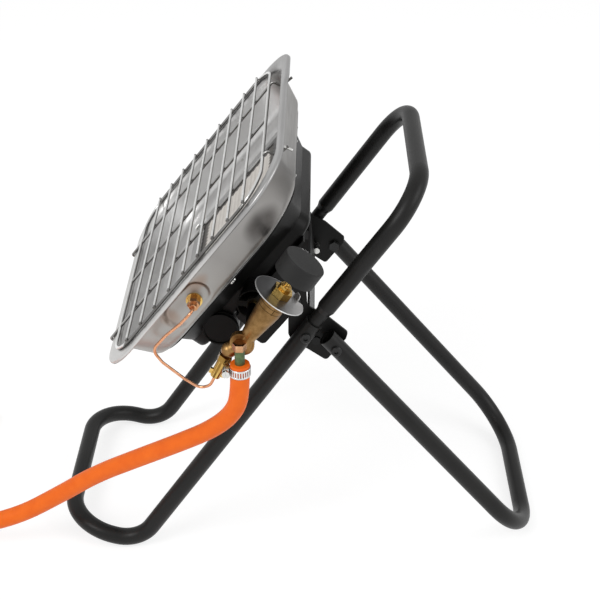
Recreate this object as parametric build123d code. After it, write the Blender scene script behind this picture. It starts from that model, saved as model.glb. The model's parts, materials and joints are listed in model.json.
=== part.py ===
from build123d import *
import math
import os

# Portable propane heater: a dish-shaped radiant head on a folding stand of bent tube.
# Millimetres. X is the width, -Y the way the head faces, +Z up, the floor at Z = 0.
# The stand is drawn about its plane of symmetry, X = 0, and everything is moved at the end
# so that the origin lies under the middle of the object's box.

# ---------------------------------------------------------------- driving dimensions
# general
SEAT_GAP = 0.05            # between curved faces that touch in one rigid group
RUN_GAP = 0.05             # radial clearance of a pivot or sliding fit
SLIDE_GAP = 0.1            # around a pressed part that drops into another

# stand tube
TUBE_R = 8.0
TUBE_WALL = 1.5
LEG_HALF = 96.0            # axis of every leg tube to the plane of symmetry
HUB_Y = 10.6               # where handle and front leg axes meet, seen from the side
HUB_Z = 240.4
HANDLE_RISE = 55.3         # degrees above horizontal
HANDLE_REACH = 155.0       # hub to the handle bar
FRONT_RAKE = 56.35         # front leg, degrees below horizontal
TOE_RISE = 16.0            # front foot, degrees above horizontal
FRONT_BAR_Y = -213.0
REAR_BAR_Y = 216.5
REAR_RAKE = 49.4           # rear leg, degrees below horizontal
REAR_PIVOT_Y = 33.0
REAR_STUB = 12.0           # rear tube beyond its pivot
HANDLE_BEND_R = 40.0
FRONT_BEND_R = 44.0
REAR_BEND_R = 52.0
FOOT_BEND_R = 30.0
NUT_RELIEF = 1.0           # around the leg nuts, in the web of the bracket
NECK_R = 6.3               # swaged handle end, which plugs into the front leg
NECK_START = 24.0          # hub to the shoulder of the neck
NECK_CONE = 5.0
NECK_DEPTH = 26.0          # neck inside the front leg, below the hub
NECK_BEND_R = 60.0
SOCKET_END = 6.5           # hub to the open end of the front leg
LEG_BOLT_DROP = 6.6        # hub down to the front leg bolt

# stand bracket (ears and web in one folded plate)
EAR_T = 2.0
WEB_TOP = (8.2, 257.0)
WEB_LOW = (12.5, 218.0)
EAR_OUTLINE = [
    (-8.0, 229.0), (-5.5, 223.0), (10.0, 213.0), (25.0, 202.5), (41.5, 224.5),
    (43.0, 231.0), (24.5, 247.5), (8.2, 257.0), (6.0, 290.0), (-8.0, 290.0),
]
EAR_CORNER_R = 3.0
STOP_BOLT = (16.0, 222.5)
STOP_BOLT_REACH = 13.0

# head: a plane tilted back, X across, u up the rim, n out of the dish, n = 0 on the rim
HEAD_Y = -86.5
HEAD_Z = 311.8
HEAD_TILT = 37.5
RIM_W = 282.0
RIM_H = 244.0
RIM_CORNER_R = 42.0
RIM_LIP = 3.0              # edge of the rim turned back
MOUTH_W = 260.0            # inside the rim
MOUTH_H = 222.0
MOUTH_CORNER_R = 46.0
PAN_DEPTH = 33.4
PAN_BACK_W = 248.0
PAN_BACK_TOP = 96.0
PAN_BACK_LOW = -100.0
PAN_BACK_R = 44.0
PAN_T = 1.0
RECESS_X = 124.4           # flat seat of the sensor, pressed into the side wall
RECESS_L = 60.0
RECESS_H = 24.0
RECESS_N = -17.5

# burner
PLAQUE_W = 64.5
PLAQUE_H = 115.0
PLAQUE_T = 13.0
PLAQUE_COUNT = 2
PLAQUE_MID_U = 7.5
PLAQUE_JOINT = 1.0
PLAQUE_SUNK = 0.2          # plaque face below the floor of the dish
GASKET_T = 3.0
TRAY_T = 0.8
TRAY_LEDGE = 5.0           # ledge behind the plaques' edge
RETAINER_LAP = 4.0         # retainer over the plaques' edge
RETAINER_BAND = 17.0       # retainer beyond its window
RETAINER_T = 0.8
TOOTH_PITCH = 7.0
TOOTH_ROOT = 4.2
TOOTH_DEPTH = 2.2
HOUSING_T = 1.2
FLANGE_W = 238.0
FLANGE_TOP = 92.0
FLANGE_LOW = -96.0
FLANGE_R = 42.0
SHOULDER_W = 212.0
SHOULDER_TOP = 82.0
SHOULDER_LOW = -88.0
SHOULDER_R = 34.0
BOX_W = 160.0
BOX_TOP = 72.0
BOX_LOW = -85.0
BOX_R = 16.0
BOX_START = 22.0           # flange to the straight wall of the box, along n
BOX_BACK = 34.0            # flange to the back of the box
BOX_EDGE_R = 4.0
DIFFUSER_DROP = 16.0       # flange to the diffuser plate
DIFFUSER_T = 1.0
DIFFUSER_RIM = 7.0
DIFFUSER_HOLE_R = 3.0
DIFFUSER_PITCH = 16.0
DIFFUSER_COLUMNS = 7
DIFFUSER_ROWS = 6

# mixing tube across the foot of the box
MIXER_R = 15.0
MIXER_U = -52.0
MIXER_DROP = 31.0          # flange to the mixer axis, along n
MIXER_FAR_X = -50.0
MIXER_PROUD = 6.0          # end of the mixer beyond the box
MIXER_WALL = 1.2
MIXER_SLOT_W = 6.0
MIXER_SLOT_COUNT = 6
MIXER_SLOT_PITCH = 17.0
CAP_T = 1.2
CAP_DEPTH = 6.0

# wire guard, welded into one grille
WIRE_R = 1.2
LOOP_R = 1.4               # border wire
WELD = 0.1                 # how deep crossing wires sink into each other
GUARD_HALF_W = 131.0
GUARD_TOP = 97.0
GUARD_LOW = -107.0
GUARD_CORNER_R = 30.0
CROSS_COUNT = 9
CROSS_PITCH = 20.0
CROSS_HALF = 132.0
LONG_X = 76.0              # the two hooked wires from the middle
HOOK_TOP = [(102.0, 0.0), (103.5, -8.7), (116.0, -11.2)]
HOOK_LOW_DROP = 8.0
HOOK_R = 3.0
HOOK_HOLE_GAP = 0.3

# head bracket on the back of the burner box, bolted between the ears
ARM_T = 2.0
ARM_OUTLINE = [
    (-34.0, 0.0), (-34.0, -10.0), (-41.0, -15.0), (-41.0, -35.5), (18.0, -35.5), (38.0, -19.0), (38.0, 0.0),
]
ARM_CORNER_R = 4.0
YOKE_LOW_U = -33.0
YOKE_TOP_U = 60.0
HEAD_BOLTS = [(-1.5, 262.0), (-1.5, 281.0)]

# fasteners
BOLT_R = 3.0
BOLT_HEAD_R = 4.6
BOLT_HEAD_T = 2.4
BOLT_SOCKET_AF = 3.6
BOLT_NUT_AF = 9.0
BOLT_NUT_T = 4.0
STOP_HEAD_R = 3.8
STOP_HEAD_T = 1.4
SCREW_R = 1.6
SCREW_HEAD_R = 3.2
SCREW_HEAD_T = 2.0
SCREW_REACH = 1.5          # screw tip beyond the sheets it holds
HOUSING_SCREWS = [
    (-114.0, 8.0), (114.0, 8.0), (-50.0, 87.0), (-20.0, 87.0), (50.0, 87.0),
    (-60.0, -92.0), (60.0, -92.0),
]
YOKE_SCREWS = [(-55.0, -20.0), (55.0, -20.0), (-55.0, 45.0), (55.0, 45.0)]
RETAINER_SCREWS = [(-73.5, -58.5), (73.5, -58.5), (-73.5, 73.5), (73.5, 73.5)]

# valve: a line through its collar, rising to the knob
VALVE_X = 147.0
VALVE_Y = -43.2
VALVE_Z = 256.8
VALVE_RISE = 56.6
COLLAR_R = 9.0
COLLAR_RING_R = 9.4
COLLAR_RING_X = 4.0        # face of the ring, from the valve's line
BODY_LOW_R = 6.7
BODY_TOP_R = 10.8
BODY_TAPER_START = 8.5
BODY_TAPER_END = 37.0
BODY_TOP = 48.0
BODY_BORE_R = 5.5
BODY_BORE_FLOOR = 18.0
PLUG_H = 12.0
PLUG_SOCKET_AF = 3.2
PLUG_SOCKET_H = 8.0
PLUG_PORT_R = 1.8
BONNET_DEPTH = 5.0         # bonnet inside the body
BONNET_SHOULDER_R = 9.5
BONNET_R = 5.6
BONNET_STEP = 60.6
BONNET_NECK_R = 3.8
BONNET_TOP = 65.0
NUT_A_AF = 15.0
NUT_A_T = 6.6
NUT_B_AF = 9.5
NUT_B_T = 3.0
SHIELD_R = 22.6
SHIELD_T = 1.0
SHIELD_AT = 52.9
SHIELD_TAB_W = 8.0
SHIELD_TAB_H = 6.0
SPINDLE_R = 2.6
SPINDLE_COLLAR_R = 4.6
SPINDLE_COLLAR_T = 1.5
SPINDLE_FLAT = 1.6         # flat of the spindle's upper end, from its axis
SPINDLE_SQUARE_AF = 3.1
SPINDLE_SQUARE_DIP = 4.5   # square in the tap plug's socket
SPRING_R = 4.1
SPRING_WIRE_R = 0.45
SPRING_PITCH = 1.4
SPRING_TURNS = 3
KNOB_R = 17.6
KNOB_AT = 74.5
KNOB_H = 16.3
KNOB_WALL = 2.2
KNOB_EDGE_R = 1.0
KNOB_HUB_R = 5.5
KNOB_HUB_DROP = 3.5        # hub below the skirt
KNOB_BORE = 16.0
OUTLET_AT = 12.0           # outlet along the valve's line
OUTLET_R = 5.0
OUTLET_BORE_R = 1.6

# air inlet horn and injector, along X into the box
HORN_MOUTH_R = 14.0
HORN_THROAT_R = 4.0
HORN_MOUTH_X = 104.0
HORN_FOOT = 1.0            # wall of the box to the foot of the horn's cone
HORN_RISE = 5.5            # throat above the outlet's line, along n
HORN_T = 1.0
HORN_FLANGE_R = 9.0
HORN_FLANGE_T = 1.5
HORN_RELIEF = 1.5          # clearance of the arm around the horn
BRIDGE_W = 5.0
BRIDGE_T = 4.0
BRIDGE_ARMS = (30, 150, 270)
BRIDGE_RING_R = 6.5
INJECTOR_R = 3.0
INJECTOR_AF = 9.0
INJECTOR_HEX_T = 5.0
INJECTOR_TIP_X = 97.0
INJECTOR_BORE_R = 0.6

# gas inlet, hose and its end fitting
BOSS_R = 8.0
BOSS_END = 5.5             # face of the inlet boss, from the valve's line
INLET_X = 158.0
INLET_Y = -45.4
INLET_Z = 260.5            # spigot of the inlet elbow
INLET_SPIGOT_R = 2.9
INLET_SPIGOT_L = 9.0
INLET_NUT_AF = 10.0
INLET_NUT_T = 6.0
TAIL_R = 4.1
TAIL_BORE_R = 2.2
TAIL_DEPTH = 20.0          # tail inside the hose
TAIL_CLEAR = 1.0           # hose bore beyond the tail
HOSE_R = 8.0
HOSE_TOP_Z = 244.0
CLAMP_DROP = 2.5           # hose end to the clamp band
CLAMP_W = 8.0
CLAMP_T = 0.8
CLAMP_BOX_W = 9.0
CLAMP_BOX_D = 6.0
CLAMP_SCREW_R = 2.2
CLAMP_SCREW_L = 13.0
CLAMP_SCREW_TIP = 1.0      # screw tip beyond its box
CLAMP_HEAD_R = 3.2
CLAMP_HEAD_T = 3.0
HOSE_ROUTE = [
    (158.0, -45.4, 214.0), (156.0, -52.0, 193.5), (151.5, -70.0, 174.0), (145.0, -98.5, 155.0),
    (134.0, -139.0, 128.5), (123.0, -176.5, 103.0), (113.5, -214.0, 71.0), (109.5, -254.0, 43.0),
    (107.0, -300.0, 27.0), (106.0, -352.0, 24.0), (106.0, -394.0, 24.2),
]
COIL_X = 12.0
COIL_Y = -430.0
COIL_R = 94.0              # middle of the turns
COIL_LAYERS = 2
COIL_TURNS = 1.5
END_ROUTE = [
    (-82.0, -430.0, 8.0), (-82.0, -403.0, 9.8), (-82.0, -376.0, 13.0), (-82.0, -350.0, 13.0),
]
FERRULE_T = 1.0
FERRULE_L = 15.0
FERRULE_END_T = 2.0
NIPPLE_R = 4.5
NIPPLE_HEAD_R = 7.0
NIPPLE_HEAD_T = 3.0
NIPPLE_BORE_R = 2.5
UNION_AF = 22.0
UNION_L = 18.0
UNION_BORE_R = 8.2         # thread, ahead of the nipple's head
UNION_SEAT_R = 7.4         # around the nipple's head
UNION_LIP = 3.0

# thermocouple and its safety magnet
CAPILLARY_R = 1.25
SENSOR_U = -21.0
SENSOR_N = -20.0
SENSOR_TIP_R = 2.4
SENSOR_TIP_X = 108.0
SENSOR_WASHER_R = 6.8
SENSOR_WASHER_T = 1.0
SENSOR_NUT_AF = 9.0
SENSOR_NUT_T = 8.0
SENSOR_NECK_R = 3.0
SENSOR_NECK_L = 4.0
SENSOR_TIP_GAP = 1.0       # probe's end to the outer face of its nut
LIMB_TOP = (-54.5, 250.0)
LIMB_END = (-64.0, 230.0)
LIMB_BOSS_R = 6.2
LIMB_BALL_R = 6.6
MAGNET_R = 4.6
MAGNET_HEX_AF = 10.6
MAGNET_HEX_T = 5.0
WING_NUT_R = 4.2
WING_NUT_L = 6.0
WING_SPAN = 13.0
WING_T = 2.5
WING_H = 4.5
CAPILLARY_ROUTE = [
    (146.5, -71.0, 214.5), (144.0, -80.0, 210.5), (142.0, -93.0, 218.5), (140.0, -110.0, 232.5),
    (139.5, -118.0, 244.0), (141.0, -106.0, 259.0), (144.0, -93.5, 272.0),
]
CAPILLARY_BEND = 10.0      # largest arc
CAPILLARY_LEAD = 2.0       # straight stretch outside the wing nut
SENSOR_LEAD = 5.0          # neck of the sensor nut to the capillary's corner

# ---------------------------------------------------------------- derived sizes and frames
HEX_TURN = 30                                        # degrees from a flat to a corner
HEX_CORNER = 1 / math.cos(math.radians(HEX_TURN))    # corner radius over half the flats
HEAD_NORMAL = (0, -math.cos(math.radians(HEAD_TILT)), math.sin(math.radians(HEAD_TILT)))
HEAD_FRAME = Plane(origin=(0, HEAD_Y, HEAD_Z), x_dir=(1, 0, 0), z_dir=HEAD_NORMAL)
VALVE_LINE = Vector(0, math.cos(math.radians(VALVE_RISE)), math.sin(math.radians(VALVE_RISE)))
VALVE_FRAME = Plane(origin=(VALVE_X, VALVE_Y, VALVE_Z), x_dir=(1, 0, 0), z_dir=VALVE_LINE)
STANDING = (Align.CENTER, Align.CENTER, Align.MIN)
HANGING = (Align.CENTER, Align.CENTER, Align.MAX)

EAR_OUTER = LEG_HALF - TUBE_R - SEAT_GAP
EAR_INNER = EAR_OUTER - EAR_T
TUBE_CREST = LEG_HALF + TUBE_R
REAR_PIVOT_Z = TUBE_R + (REAR_BAR_Y - REAR_PIVOT_Y) * math.tan(math.radians(REAR_RAKE))

FLOOR_N = -PAN_DEPTH + PAN_T
TRAY_N = -PAN_DEPTH - TRAY_T
FLANGE_N = TRAY_N - HOUSING_T
BOX_BACK_N = TRAY_N - BOX_BACK
MIXER_N = TRAY_N - MIXER_DROP
PLAQUE_FACE_N = FLOOR_N - PLAQUE_SUNK
PLAQUE_BACK_N = PLAQUE_FACE_N - PLAQUE_T
CERAMIC_W = PLAQUE_COUNT * PLAQUE_W + (PLAQUE_COUNT - 1) * PLAQUE_JOINT
WELL_W = CERAMIC_W + 2 * GASKET_T
WELL_H = PLAQUE_H + 2 * GASKET_T
MIXER_END_X = BOX_W / 2 + MIXER_PROUD
HORN_STEP_X = BOX_W / 2 + HORN_FOOT
SHIFT = Pos(-((VALVE_X + SHIELD_R) - RIM_W / 2) / 2, -(FRONT_BAR_Y + REAR_BAR_Y) / 2, 0)

nodes = {}


# ---------------------------------------------------------------- helpers
def keep(name, *solids):
    """Store a node: one solid, or several loose ones of the same kind."""
    nodes[name] = solids


def leg_direction(angle):
    return Vector(0, math.cos(math.radians(angle)), math.sin(math.radians(angle)))


def valve_point(s):
    """A point on the valve's line, s above its collar."""
    return VALVE_FRAME.origin + VALVE_LINE * s


def rod(start, end, radius):
    """A round bar between two points."""
    line = Vector(*end) - Vector(*start)
    return Plane(origin=start, z_dir=line) * Cylinder(radius, line.length, align=STANDING)


def along(path, radius):
    """A round bar along a path."""
    return sweep(Plane(origin=path @ 0, z_dir=path % 0) * Circle(radius), path=path)


def hex_prism(across, length):
    """A hexagon across its flats, standing on Z = 0."""
    return extrude(RegularPolygon(across / 2, 6, major_radius=False), length)


def plate_yz(outline, x_low, x_high, corner):
    """A flat plate at right angles to X, from its outline in Y and Z."""
    face = make_face(Polyline(*outline, close=True))
    if corner:
        face = fillet(face.vertices(), corner)
    return extrude(Plane(origin=(x_low, 0, 0), x_dir=(0, 1, 0), z_dir=(1, 0, 0)) * face, x_high - x_low)


def frame_face(width, top, low, radius, n):
    """A rounded rectangle of the head, at the height n."""
    return Pos(0, (top + low) / 2, n) * RectangleRounded(width, top - low, radius)


def frame_block(width, top, low, radius, n_low, n_high):
    return extrude(frame_face(width, top, low, radius, n_low), n_high - n_low)


def mirrored(solid):
    return solid.mirror(Plane.YZ)


def x_hole(y, z, radius):
    """A bar right across the stand, to drill with."""
    return rod((-2 * LEG_HALF, y, z), (2 * LEG_HALF, y, z), radius)


def arc_radii(points, share=0.45):
    """The largest arc that each corner of a route leaves room for."""
    radii = []
    for before, here, after in zip(points, points[1:], points[2:]):
        run_in = Vector(*here) - Vector(*before)
        run_out = Vector(*after) - Vector(*here)
        half_turn = math.radians(run_in.get_angle(run_out)) / 2
        radii.append(share * min(run_in.length, run_out.length) / math.tan(half_turn))
    return radii


def button_bolt(x_face, y, z, toward, length):
    """A socket bolt along X: its head on x_face, its shank going the other way."""
    head = Cylinder(BOLT_HEAD_R, BOLT_HEAD_T, align=STANDING)
    head = fillet(head.faces().sort_by(Axis.Z)[-1].edges(), BOLT_HEAD_T / 2)
    shank = Cylinder(BOLT_R, length, align=HANGING)
    socket = Pos(0, 0, BOLT_HEAD_T / 2) * hex_prism(BOLT_SOCKET_AF, BOLT_HEAD_T)
    return Plane(origin=(x_face, y, z), z_dir=(toward, 0, 0)) * (head + shank - socket)


def bolt_nut(x_face, y, z, toward):
    """A nut along X that starts at x_face."""
    nut = hex_prism(BOLT_NUT_AF, BOLT_NUT_T) - Cylinder(BOLT_R + RUN_GAP, 3 * BOLT_NUT_T)
    return Plane(origin=(x_face, y, z), z_dir=(toward, 0, 0)) * nut


# ---------------------------------------------------------------- stand
FRONT_UP = leg_direction(FRONT_RAKE)
HANDLE_UP = leg_direction(HANDLE_RISE)
REAR_DOWN = leg_direction(-REAR_RAKE)
HUB = Vector(0, HUB_Y, HUB_Z)
REAR_PIVOT = Vector(0, REAR_PIVOT_Y, REAR_PIVOT_Z)
LEG_BOLT = HUB - FRONT_UP * LEG_BOLT_DROP


def u_tube(side_points, radii):
    """A bent tube: down one side, across, and up the other; radii of one side's bends."""
    near = [(LEG_HALF, p.Y, p.Z) for p in side_points]
    far = [(-LEG_HALF, p.Y, p.Z) for p in reversed(side_points)]
    path = FilletPolyline(*near, *far, radius=radii + radii[::-1])
    return along(path, TUBE_R) - along(path, TUBE_R - TUBE_WALL)


def front_leg():
    half_sum = math.radians((FRONT_RAKE + TOE_RISE) / 2)
    half_gap = math.radians((FRONT_RAKE - TOE_RISE) / 2)
    foot_z = TUBE_R + FOOT_BEND_R - FOOT_BEND_R * math.cos(half_gap) / math.cos(half_sum)
    foot_y = HUB_Y - (HUB_Z - foot_z) / math.tan(math.radians(FRONT_RAKE))
    bar_z = foot_z + (foot_y - FRONT_BAR_Y) * math.tan(math.radians(TOE_RISE))
    side = [HUB + FRONT_UP * SOCKET_END, Vector(0, foot_y, foot_z), Vector(0, FRONT_BAR_Y, bar_z)]
    tube = u_tube(side, [FOOT_BEND_R, FRONT_BEND_R])
    keep("front_leg", tube - x_hole(LEG_BOLT.Y, LEG_BOLT.Z, BOLT_R + RUN_GAP))


def neck(x):
    """The swaged end of the handle: a cone, a bend at the hub and a plug in the front leg."""
    hub = Vector(x, HUB.Y, HUB.Z)
    cone_end = hub + HANDLE_UP * (NECK_START - NECK_CONE)
    path = FilletPolyline(hub - FRONT_UP * NECK_DEPTH, hub, cone_end, radius=NECK_BEND_R)
    inner = NECK_R - TUBE_WALL
    cone = Cone(NECK_R, TUBE_R, NECK_CONE, align=STANDING)
    cone -= Cone(inner, TUBE_R - TUBE_WALL, NECK_CONE, align=STANDING)
    return along(path, NECK_R) - along(path, inner) + Plane(origin=cone_end, z_dir=HANDLE_UP) * cone


def carry_handle():
    frame = u_tube([HUB + HANDLE_UP * NECK_START, HUB + HANDLE_UP * HANDLE_REACH], [HANDLE_BEND_R])
    whole = frame + neck(LEG_HALF) + neck(-LEG_HALF)
    keep("carry_handle", whole - x_hole(LEG_BOLT.Y, LEG_BOLT.Z, BOLT_R + RUN_GAP))


def rear_leg():
    tube = u_tube([REAR_PIVOT - REAR_DOWN * REAR_STUB, Vector(0, REAR_BAR_Y, TUBE_R)], [REAR_BEND_R])
    keep("rear_leg", tube - x_hole(REAR_PIVOT.Y, REAR_PIVOT.Z, BOLT_R + RUN_GAP))


def stand_bracket():
    ear = plate_yz(EAR_OUTLINE, EAR_INNER, EAR_OUTER, EAR_CORNER_R)
    lean = (Vector(0, *WEB_LOW) - Vector(0, *WEB_TOP)).normalized()
    back = Vector(0, -lean.Z, lean.Y) * EAR_T
    web_outline = [WEB_TOP, WEB_LOW, (WEB_LOW[0] + back.Y, WEB_LOW[1] + back.Z),
                   (WEB_TOP[0] + back.Y, WEB_TOP[1] + back.Z)]
    web = plate_yz(web_outline, -EAR_OUTER, EAR_OUTER, 0)
    inside = EAR_INNER - BOLT_NUT_T - NUT_RELIEF
    relief_r = BOLT_NUT_AF / 2 + 2 * NUT_RELIEF
    relief = rod((inside, LEG_BOLT.Y, LEG_BOLT.Z), (EAR_INNER, LEG_BOLT.Y, LEG_BOLT.Z), relief_r)
    body = ear + mirrored(ear) + (web - relief - mirrored(relief))
    spots = [(LEG_BOLT.Y, LEG_BOLT.Z), (REAR_PIVOT.Y, REAR_PIVOT.Z), STOP_BOLT]
    for y, z in spots + HEAD_BOLTS:
        body -= x_hole(y, z, BOLT_R + RUN_GAP)
    keep("stand_bracket", body)


def stand_fasteners():
    reach = TUBE_CREST - EAR_INNER + BOLT_NUT_T
    grip = EAR_T + ARM_T + BOLT_NUT_T
    for spot, bolt_name, nut_name in ((LEG_BOLT, "leg_bolts", "leg_nuts"),
                                      (REAR_PIVOT, "pivot_bolts", "pivot_nuts")):
        keep(bolt_name, *[button_bolt(side * TUBE_CREST, spot.Y, spot.Z, side, reach) for side in (1, -1)])
        keep(nut_name, *[bolt_nut(side * EAR_INNER, spot.Y, spot.Z, -side) for side in (1, -1)])
    stop = Cylinder(STOP_HEAD_R, STOP_HEAD_T, align=STANDING)
    stop += Cylinder(BOLT_R, EAR_T + STOP_BOLT_REACH, align=HANGING)
    keep("stop_bolts", *[Plane(origin=(side * EAR_OUTER, *STOP_BOLT), z_dir=(side, 0, 0)) * stop
                         for side in (1, -1)])
    places = [(side, y, z) for side in (1, -1) for y, z in HEAD_BOLTS]
    keep("head_bolts", *[button_bolt(side * EAR_OUTER, y, z, side, grip) for side, y, z in places])
    keep("head_nuts", *[bolt_nut(side * (EAR_INNER - ARM_T), y, z, -side) for side, y, z in places])


# ---------------------------------------------------------------- head
def pan_solid(grow, n_top, n_low):
    """The dish as a block, its walls grown outward by one size."""
    half = MOUTH_H / 2 + grow
    mouth = frame_face(MOUTH_W + 2 * grow, half, -half, MOUTH_CORNER_R + grow, n_top)
    back_w = PAN_BACK_W + 2 * grow
    back = frame_face(back_w, PAN_BACK_TOP + grow, PAN_BACK_LOW - grow, PAN_BACK_R + grow, n_low)
    return loft([mouth, back], ruled=True)


def obround(length, height, x_low, x_high):
    """An obround block of the side wall, its length along u."""
    face = Pos(SENSOR_U, RECESS_N) * SlotOverall(length, height)
    return extrude(Plane(origin=(x_low, 0, 0), x_dir=(0, 1, 0), z_dir=(1, 0, 0)) * face, x_high - x_low)


def hook_path():
    points = [(LONG_X, 0.0, HOOK_TOP[0][1])] + [(LONG_X, u, n) for u, n in HOOK_TOP]
    level = WIRE_R + SEAT_GAP
    return FilletPolyline(*[(x, u, n + level) for x, u, n in points], radius=HOOK_R)


def dish_reflector():
    rim = frame_block(RIM_W, RIM_H / 2, -RIM_H / 2, RIM_CORNER_R, -PAN_T, 0)
    lip = frame_block(RIM_W, RIM_H / 2, -RIM_H / 2, RIM_CORNER_R, -RIM_LIP, 0)
    inner = RIM_H / 2 - PAN_T
    lip -= frame_block(RIM_W - 2 * PAN_T, inner, -inner, RIM_CORNER_R - PAN_T, -RIM_LIP, 0)
    cavity = pan_solid(0, 0, FLOOR_N)
    pad = obround(RECESS_L, RECESS_H, RECESS_X - PAN_T, MOUTH_W / 2 + RIM_LIP)
    pocket = obround(RECESS_L - 2 * PAN_T, RECESS_H - 2 * PAN_T, RECESS_X, RIM_W / 2)
    body = rim + lip + pan_solid(PAN_T, 0, -PAN_DEPTH) - (cavity - pad) - pocket
    body -= Pos(0, PLAQUE_MID_U, -PAN_DEPTH) * Box(WELL_W, WELL_H, 3 * PAN_T)
    body -= rod((0, SENSOR_U, SENSOR_N), (RIM_W, SENSOR_U, SENSOR_N), SENSOR_TIP_R + SLIDE_GAP)
    hook = along(hook_path(), WIRE_R + HOOK_HOLE_GAP)
    body -= [hook, mirrored(hook)]
    for x, u in HOUSING_SCREWS + RETAINER_SCREWS:
        body -= Pos(x, u, -PAN_DEPTH) * Cylinder(SCREW_R + RUN_GAP, 3 * PAN_T)
    keep("dish_reflector", HEAD_FRAME * body)


def wire_guard():
    level = WIRE_R + SEAT_GAP
    loop_n = LOOP_R + SEAT_GAP
    right = [(0, GUARD_TOP, loop_n), (GUARD_HALF_W, GUARD_TOP, loop_n),
             (GUARD_HALF_W, GUARD_LOW, loop_n), (0, GUARD_LOW, loop_n)]
    half = along(FilletPolyline(*right, radius=GUARD_CORNER_R), LOOP_R)
    grille = half + mirrored(half)
    cross_n = level + 2 * WIRE_R - WELD
    for i in range(1, CROSS_COUNT + 1):
        u = GUARD_TOP - i * CROSS_PITCH
        grille += rod((-CROSS_HALF, u, cross_n), (CROSS_HALF, u, cross_n), WIRE_R)
    grille += rod((0, GUARD_TOP, level), (0, GUARD_LOW, level), WIRE_R)
    hook_u = -(RIM_H / 2 + WIRE_R + SEAT_GAP)
    low = FilletPolyline((LONG_X, 0, level), (LONG_X, hook_u, level),
                         (LONG_X, hook_u, level - HOOK_LOW_DROP), radius=WIRE_R + SEAT_GAP)
    for wire in (along(hook_path(), WIRE_R), along(low, WIRE_R)):
        grille += [wire, mirrored(wire)]
    keep("wire_guard", HEAD_FRAME * grille)


# ---------------------------------------------------------------- burner
def plaque_spots():
    pitch = PLAQUE_W + PLAQUE_JOINT
    return [(i - (PLAQUE_COUNT - 1) / 2) * pitch for i in range(PLAQUE_COUNT)]


def ceramic_plaques():
    block = Pos(0, PLAQUE_MID_U, PLAQUE_BACK_N) * Box(PLAQUE_W, PLAQUE_H, PLAQUE_T, align=STANDING)
    keep("ceramic_plaques", *[HEAD_FRAME * (Pos(x, 0, 0) * block) for x in plaque_spots()])


def plaque_gasket():
    ring = Box(WELL_W, WELL_H, PLAQUE_T, align=STANDING)
    ring -= Box(CERAMIC_W, PLAQUE_H, PLAQUE_T, align=STANDING)
    ring += Box(PLAQUE_JOINT, PLAQUE_H, PLAQUE_T, align=STANDING)
    keep("plaque_gasket", HEAD_FRAME * (Pos(0, PLAQUE_MID_U, PLAQUE_BACK_N) * ring))


def tooth_row(length):
    """Notches along an edge, pointing toward +Y, centred on the edge's middle."""
    count = int(length / TOOTH_PITCH) - 1
    outline = Polyline((-TOOTH_ROOT / 2, 0), (TOOTH_ROOT / 2, 0), (0, TOOTH_DEPTH), close=True)
    tooth = extrude(make_face(outline), RETAINER_T)
    return [Pos((i - (count - 1) / 2) * TOOTH_PITCH, 0, 0) * tooth for i in range(count)]


def plaque_retainer():
    window_w = CERAMIC_W - 2 * RETAINER_LAP
    window_h = PLAQUE_H - 2 * RETAINER_LAP
    body = Box(window_w + 2 * RETAINER_BAND, window_h + 2 * RETAINER_BAND, RETAINER_T, align=STANDING)
    body -= Box(window_w, window_h, RETAINER_T, align=STANDING)
    for turn, edge, length in ((0, window_h / 2, window_w), (90, window_w / 2, window_h),
                               (180, window_h / 2, window_w), (270, window_w / 2, window_h)):
        body -= [Rot(0, 0, turn) * Pos(0, edge, 0) * tooth for tooth in tooth_row(length)]
    body = Pos(0, PLAQUE_MID_U, FLOOR_N) * body
    for x, u in RETAINER_SCREWS:
        body -= Pos(x, u, FLOOR_N) * Cylinder(SCREW_R + RUN_GAP, 3 * RETAINER_T)
    keep("plaque_retainer", HEAD_FRAME * body)


def tile_tray():
    flange = frame_block(FLANGE_W, FLANGE_TOP, FLANGE_LOW, FLANGE_R, TRAY_N, -PAN_DEPTH)
    depth = -PAN_DEPTH - PLAQUE_BACK_N + TRAY_T
    place = Pos(0, PLAQUE_MID_U, -PAN_DEPTH)
    body = flange + place * Box(WELL_W + 2 * TRAY_T, WELL_H + 2 * TRAY_T, depth, align=HANGING)
    body -= place * Box(WELL_W, WELL_H, depth - TRAY_T, align=HANGING)
    body -= place * Box(CERAMIC_W - 2 * TRAY_LEDGE, PLAQUE_H - 2 * TRAY_LEDGE, 2 * depth)
    for x, u in HOUSING_SCREWS + RETAINER_SCREWS:
        body -= Pos(x, u, TRAY_N) * Cylinder(SCREW_R + RUN_GAP, 4 * TRAY_T)
    keep("tile_tray", HEAD_FRAME * body)


def box_solid(inset, back_n):
    """The burner box as a block, its walls moved inward by one size."""
    shoulder_h = (SHOULDER_TOP - inset, SHOULDER_LOW + inset)
    shoulder = frame_face(SHOULDER_W - 2 * inset, *shoulder_h, SHOULDER_R - inset, TRAY_N)
    outline = (BOX_W - 2 * inset, BOX_TOP - inset, BOX_LOW + inset, BOX_R - inset)
    waist = frame_face(*outline, TRAY_N - BOX_START)
    block = frame_block(*outline, back_n, TRAY_N - BOX_START)
    block = fillet(block.faces().sort_by(Axis.Z)[0].edges(), BOX_EDGE_R - inset)
    return loft([shoulder, waist], ruled=True) + block


def outlet_point():
    """Where the valve's outlet line lies in the head's own frame, as u and n."""
    local = HEAD_FRAME.to_local_coords(valve_point(OUTLET_AT))
    return local.Y, local.Z


def mixer_bar(x_low, x_high, radius):
    return rod((x_low, MIXER_U, MIXER_N), (x_high, MIXER_U, MIXER_N), radius)


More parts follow.
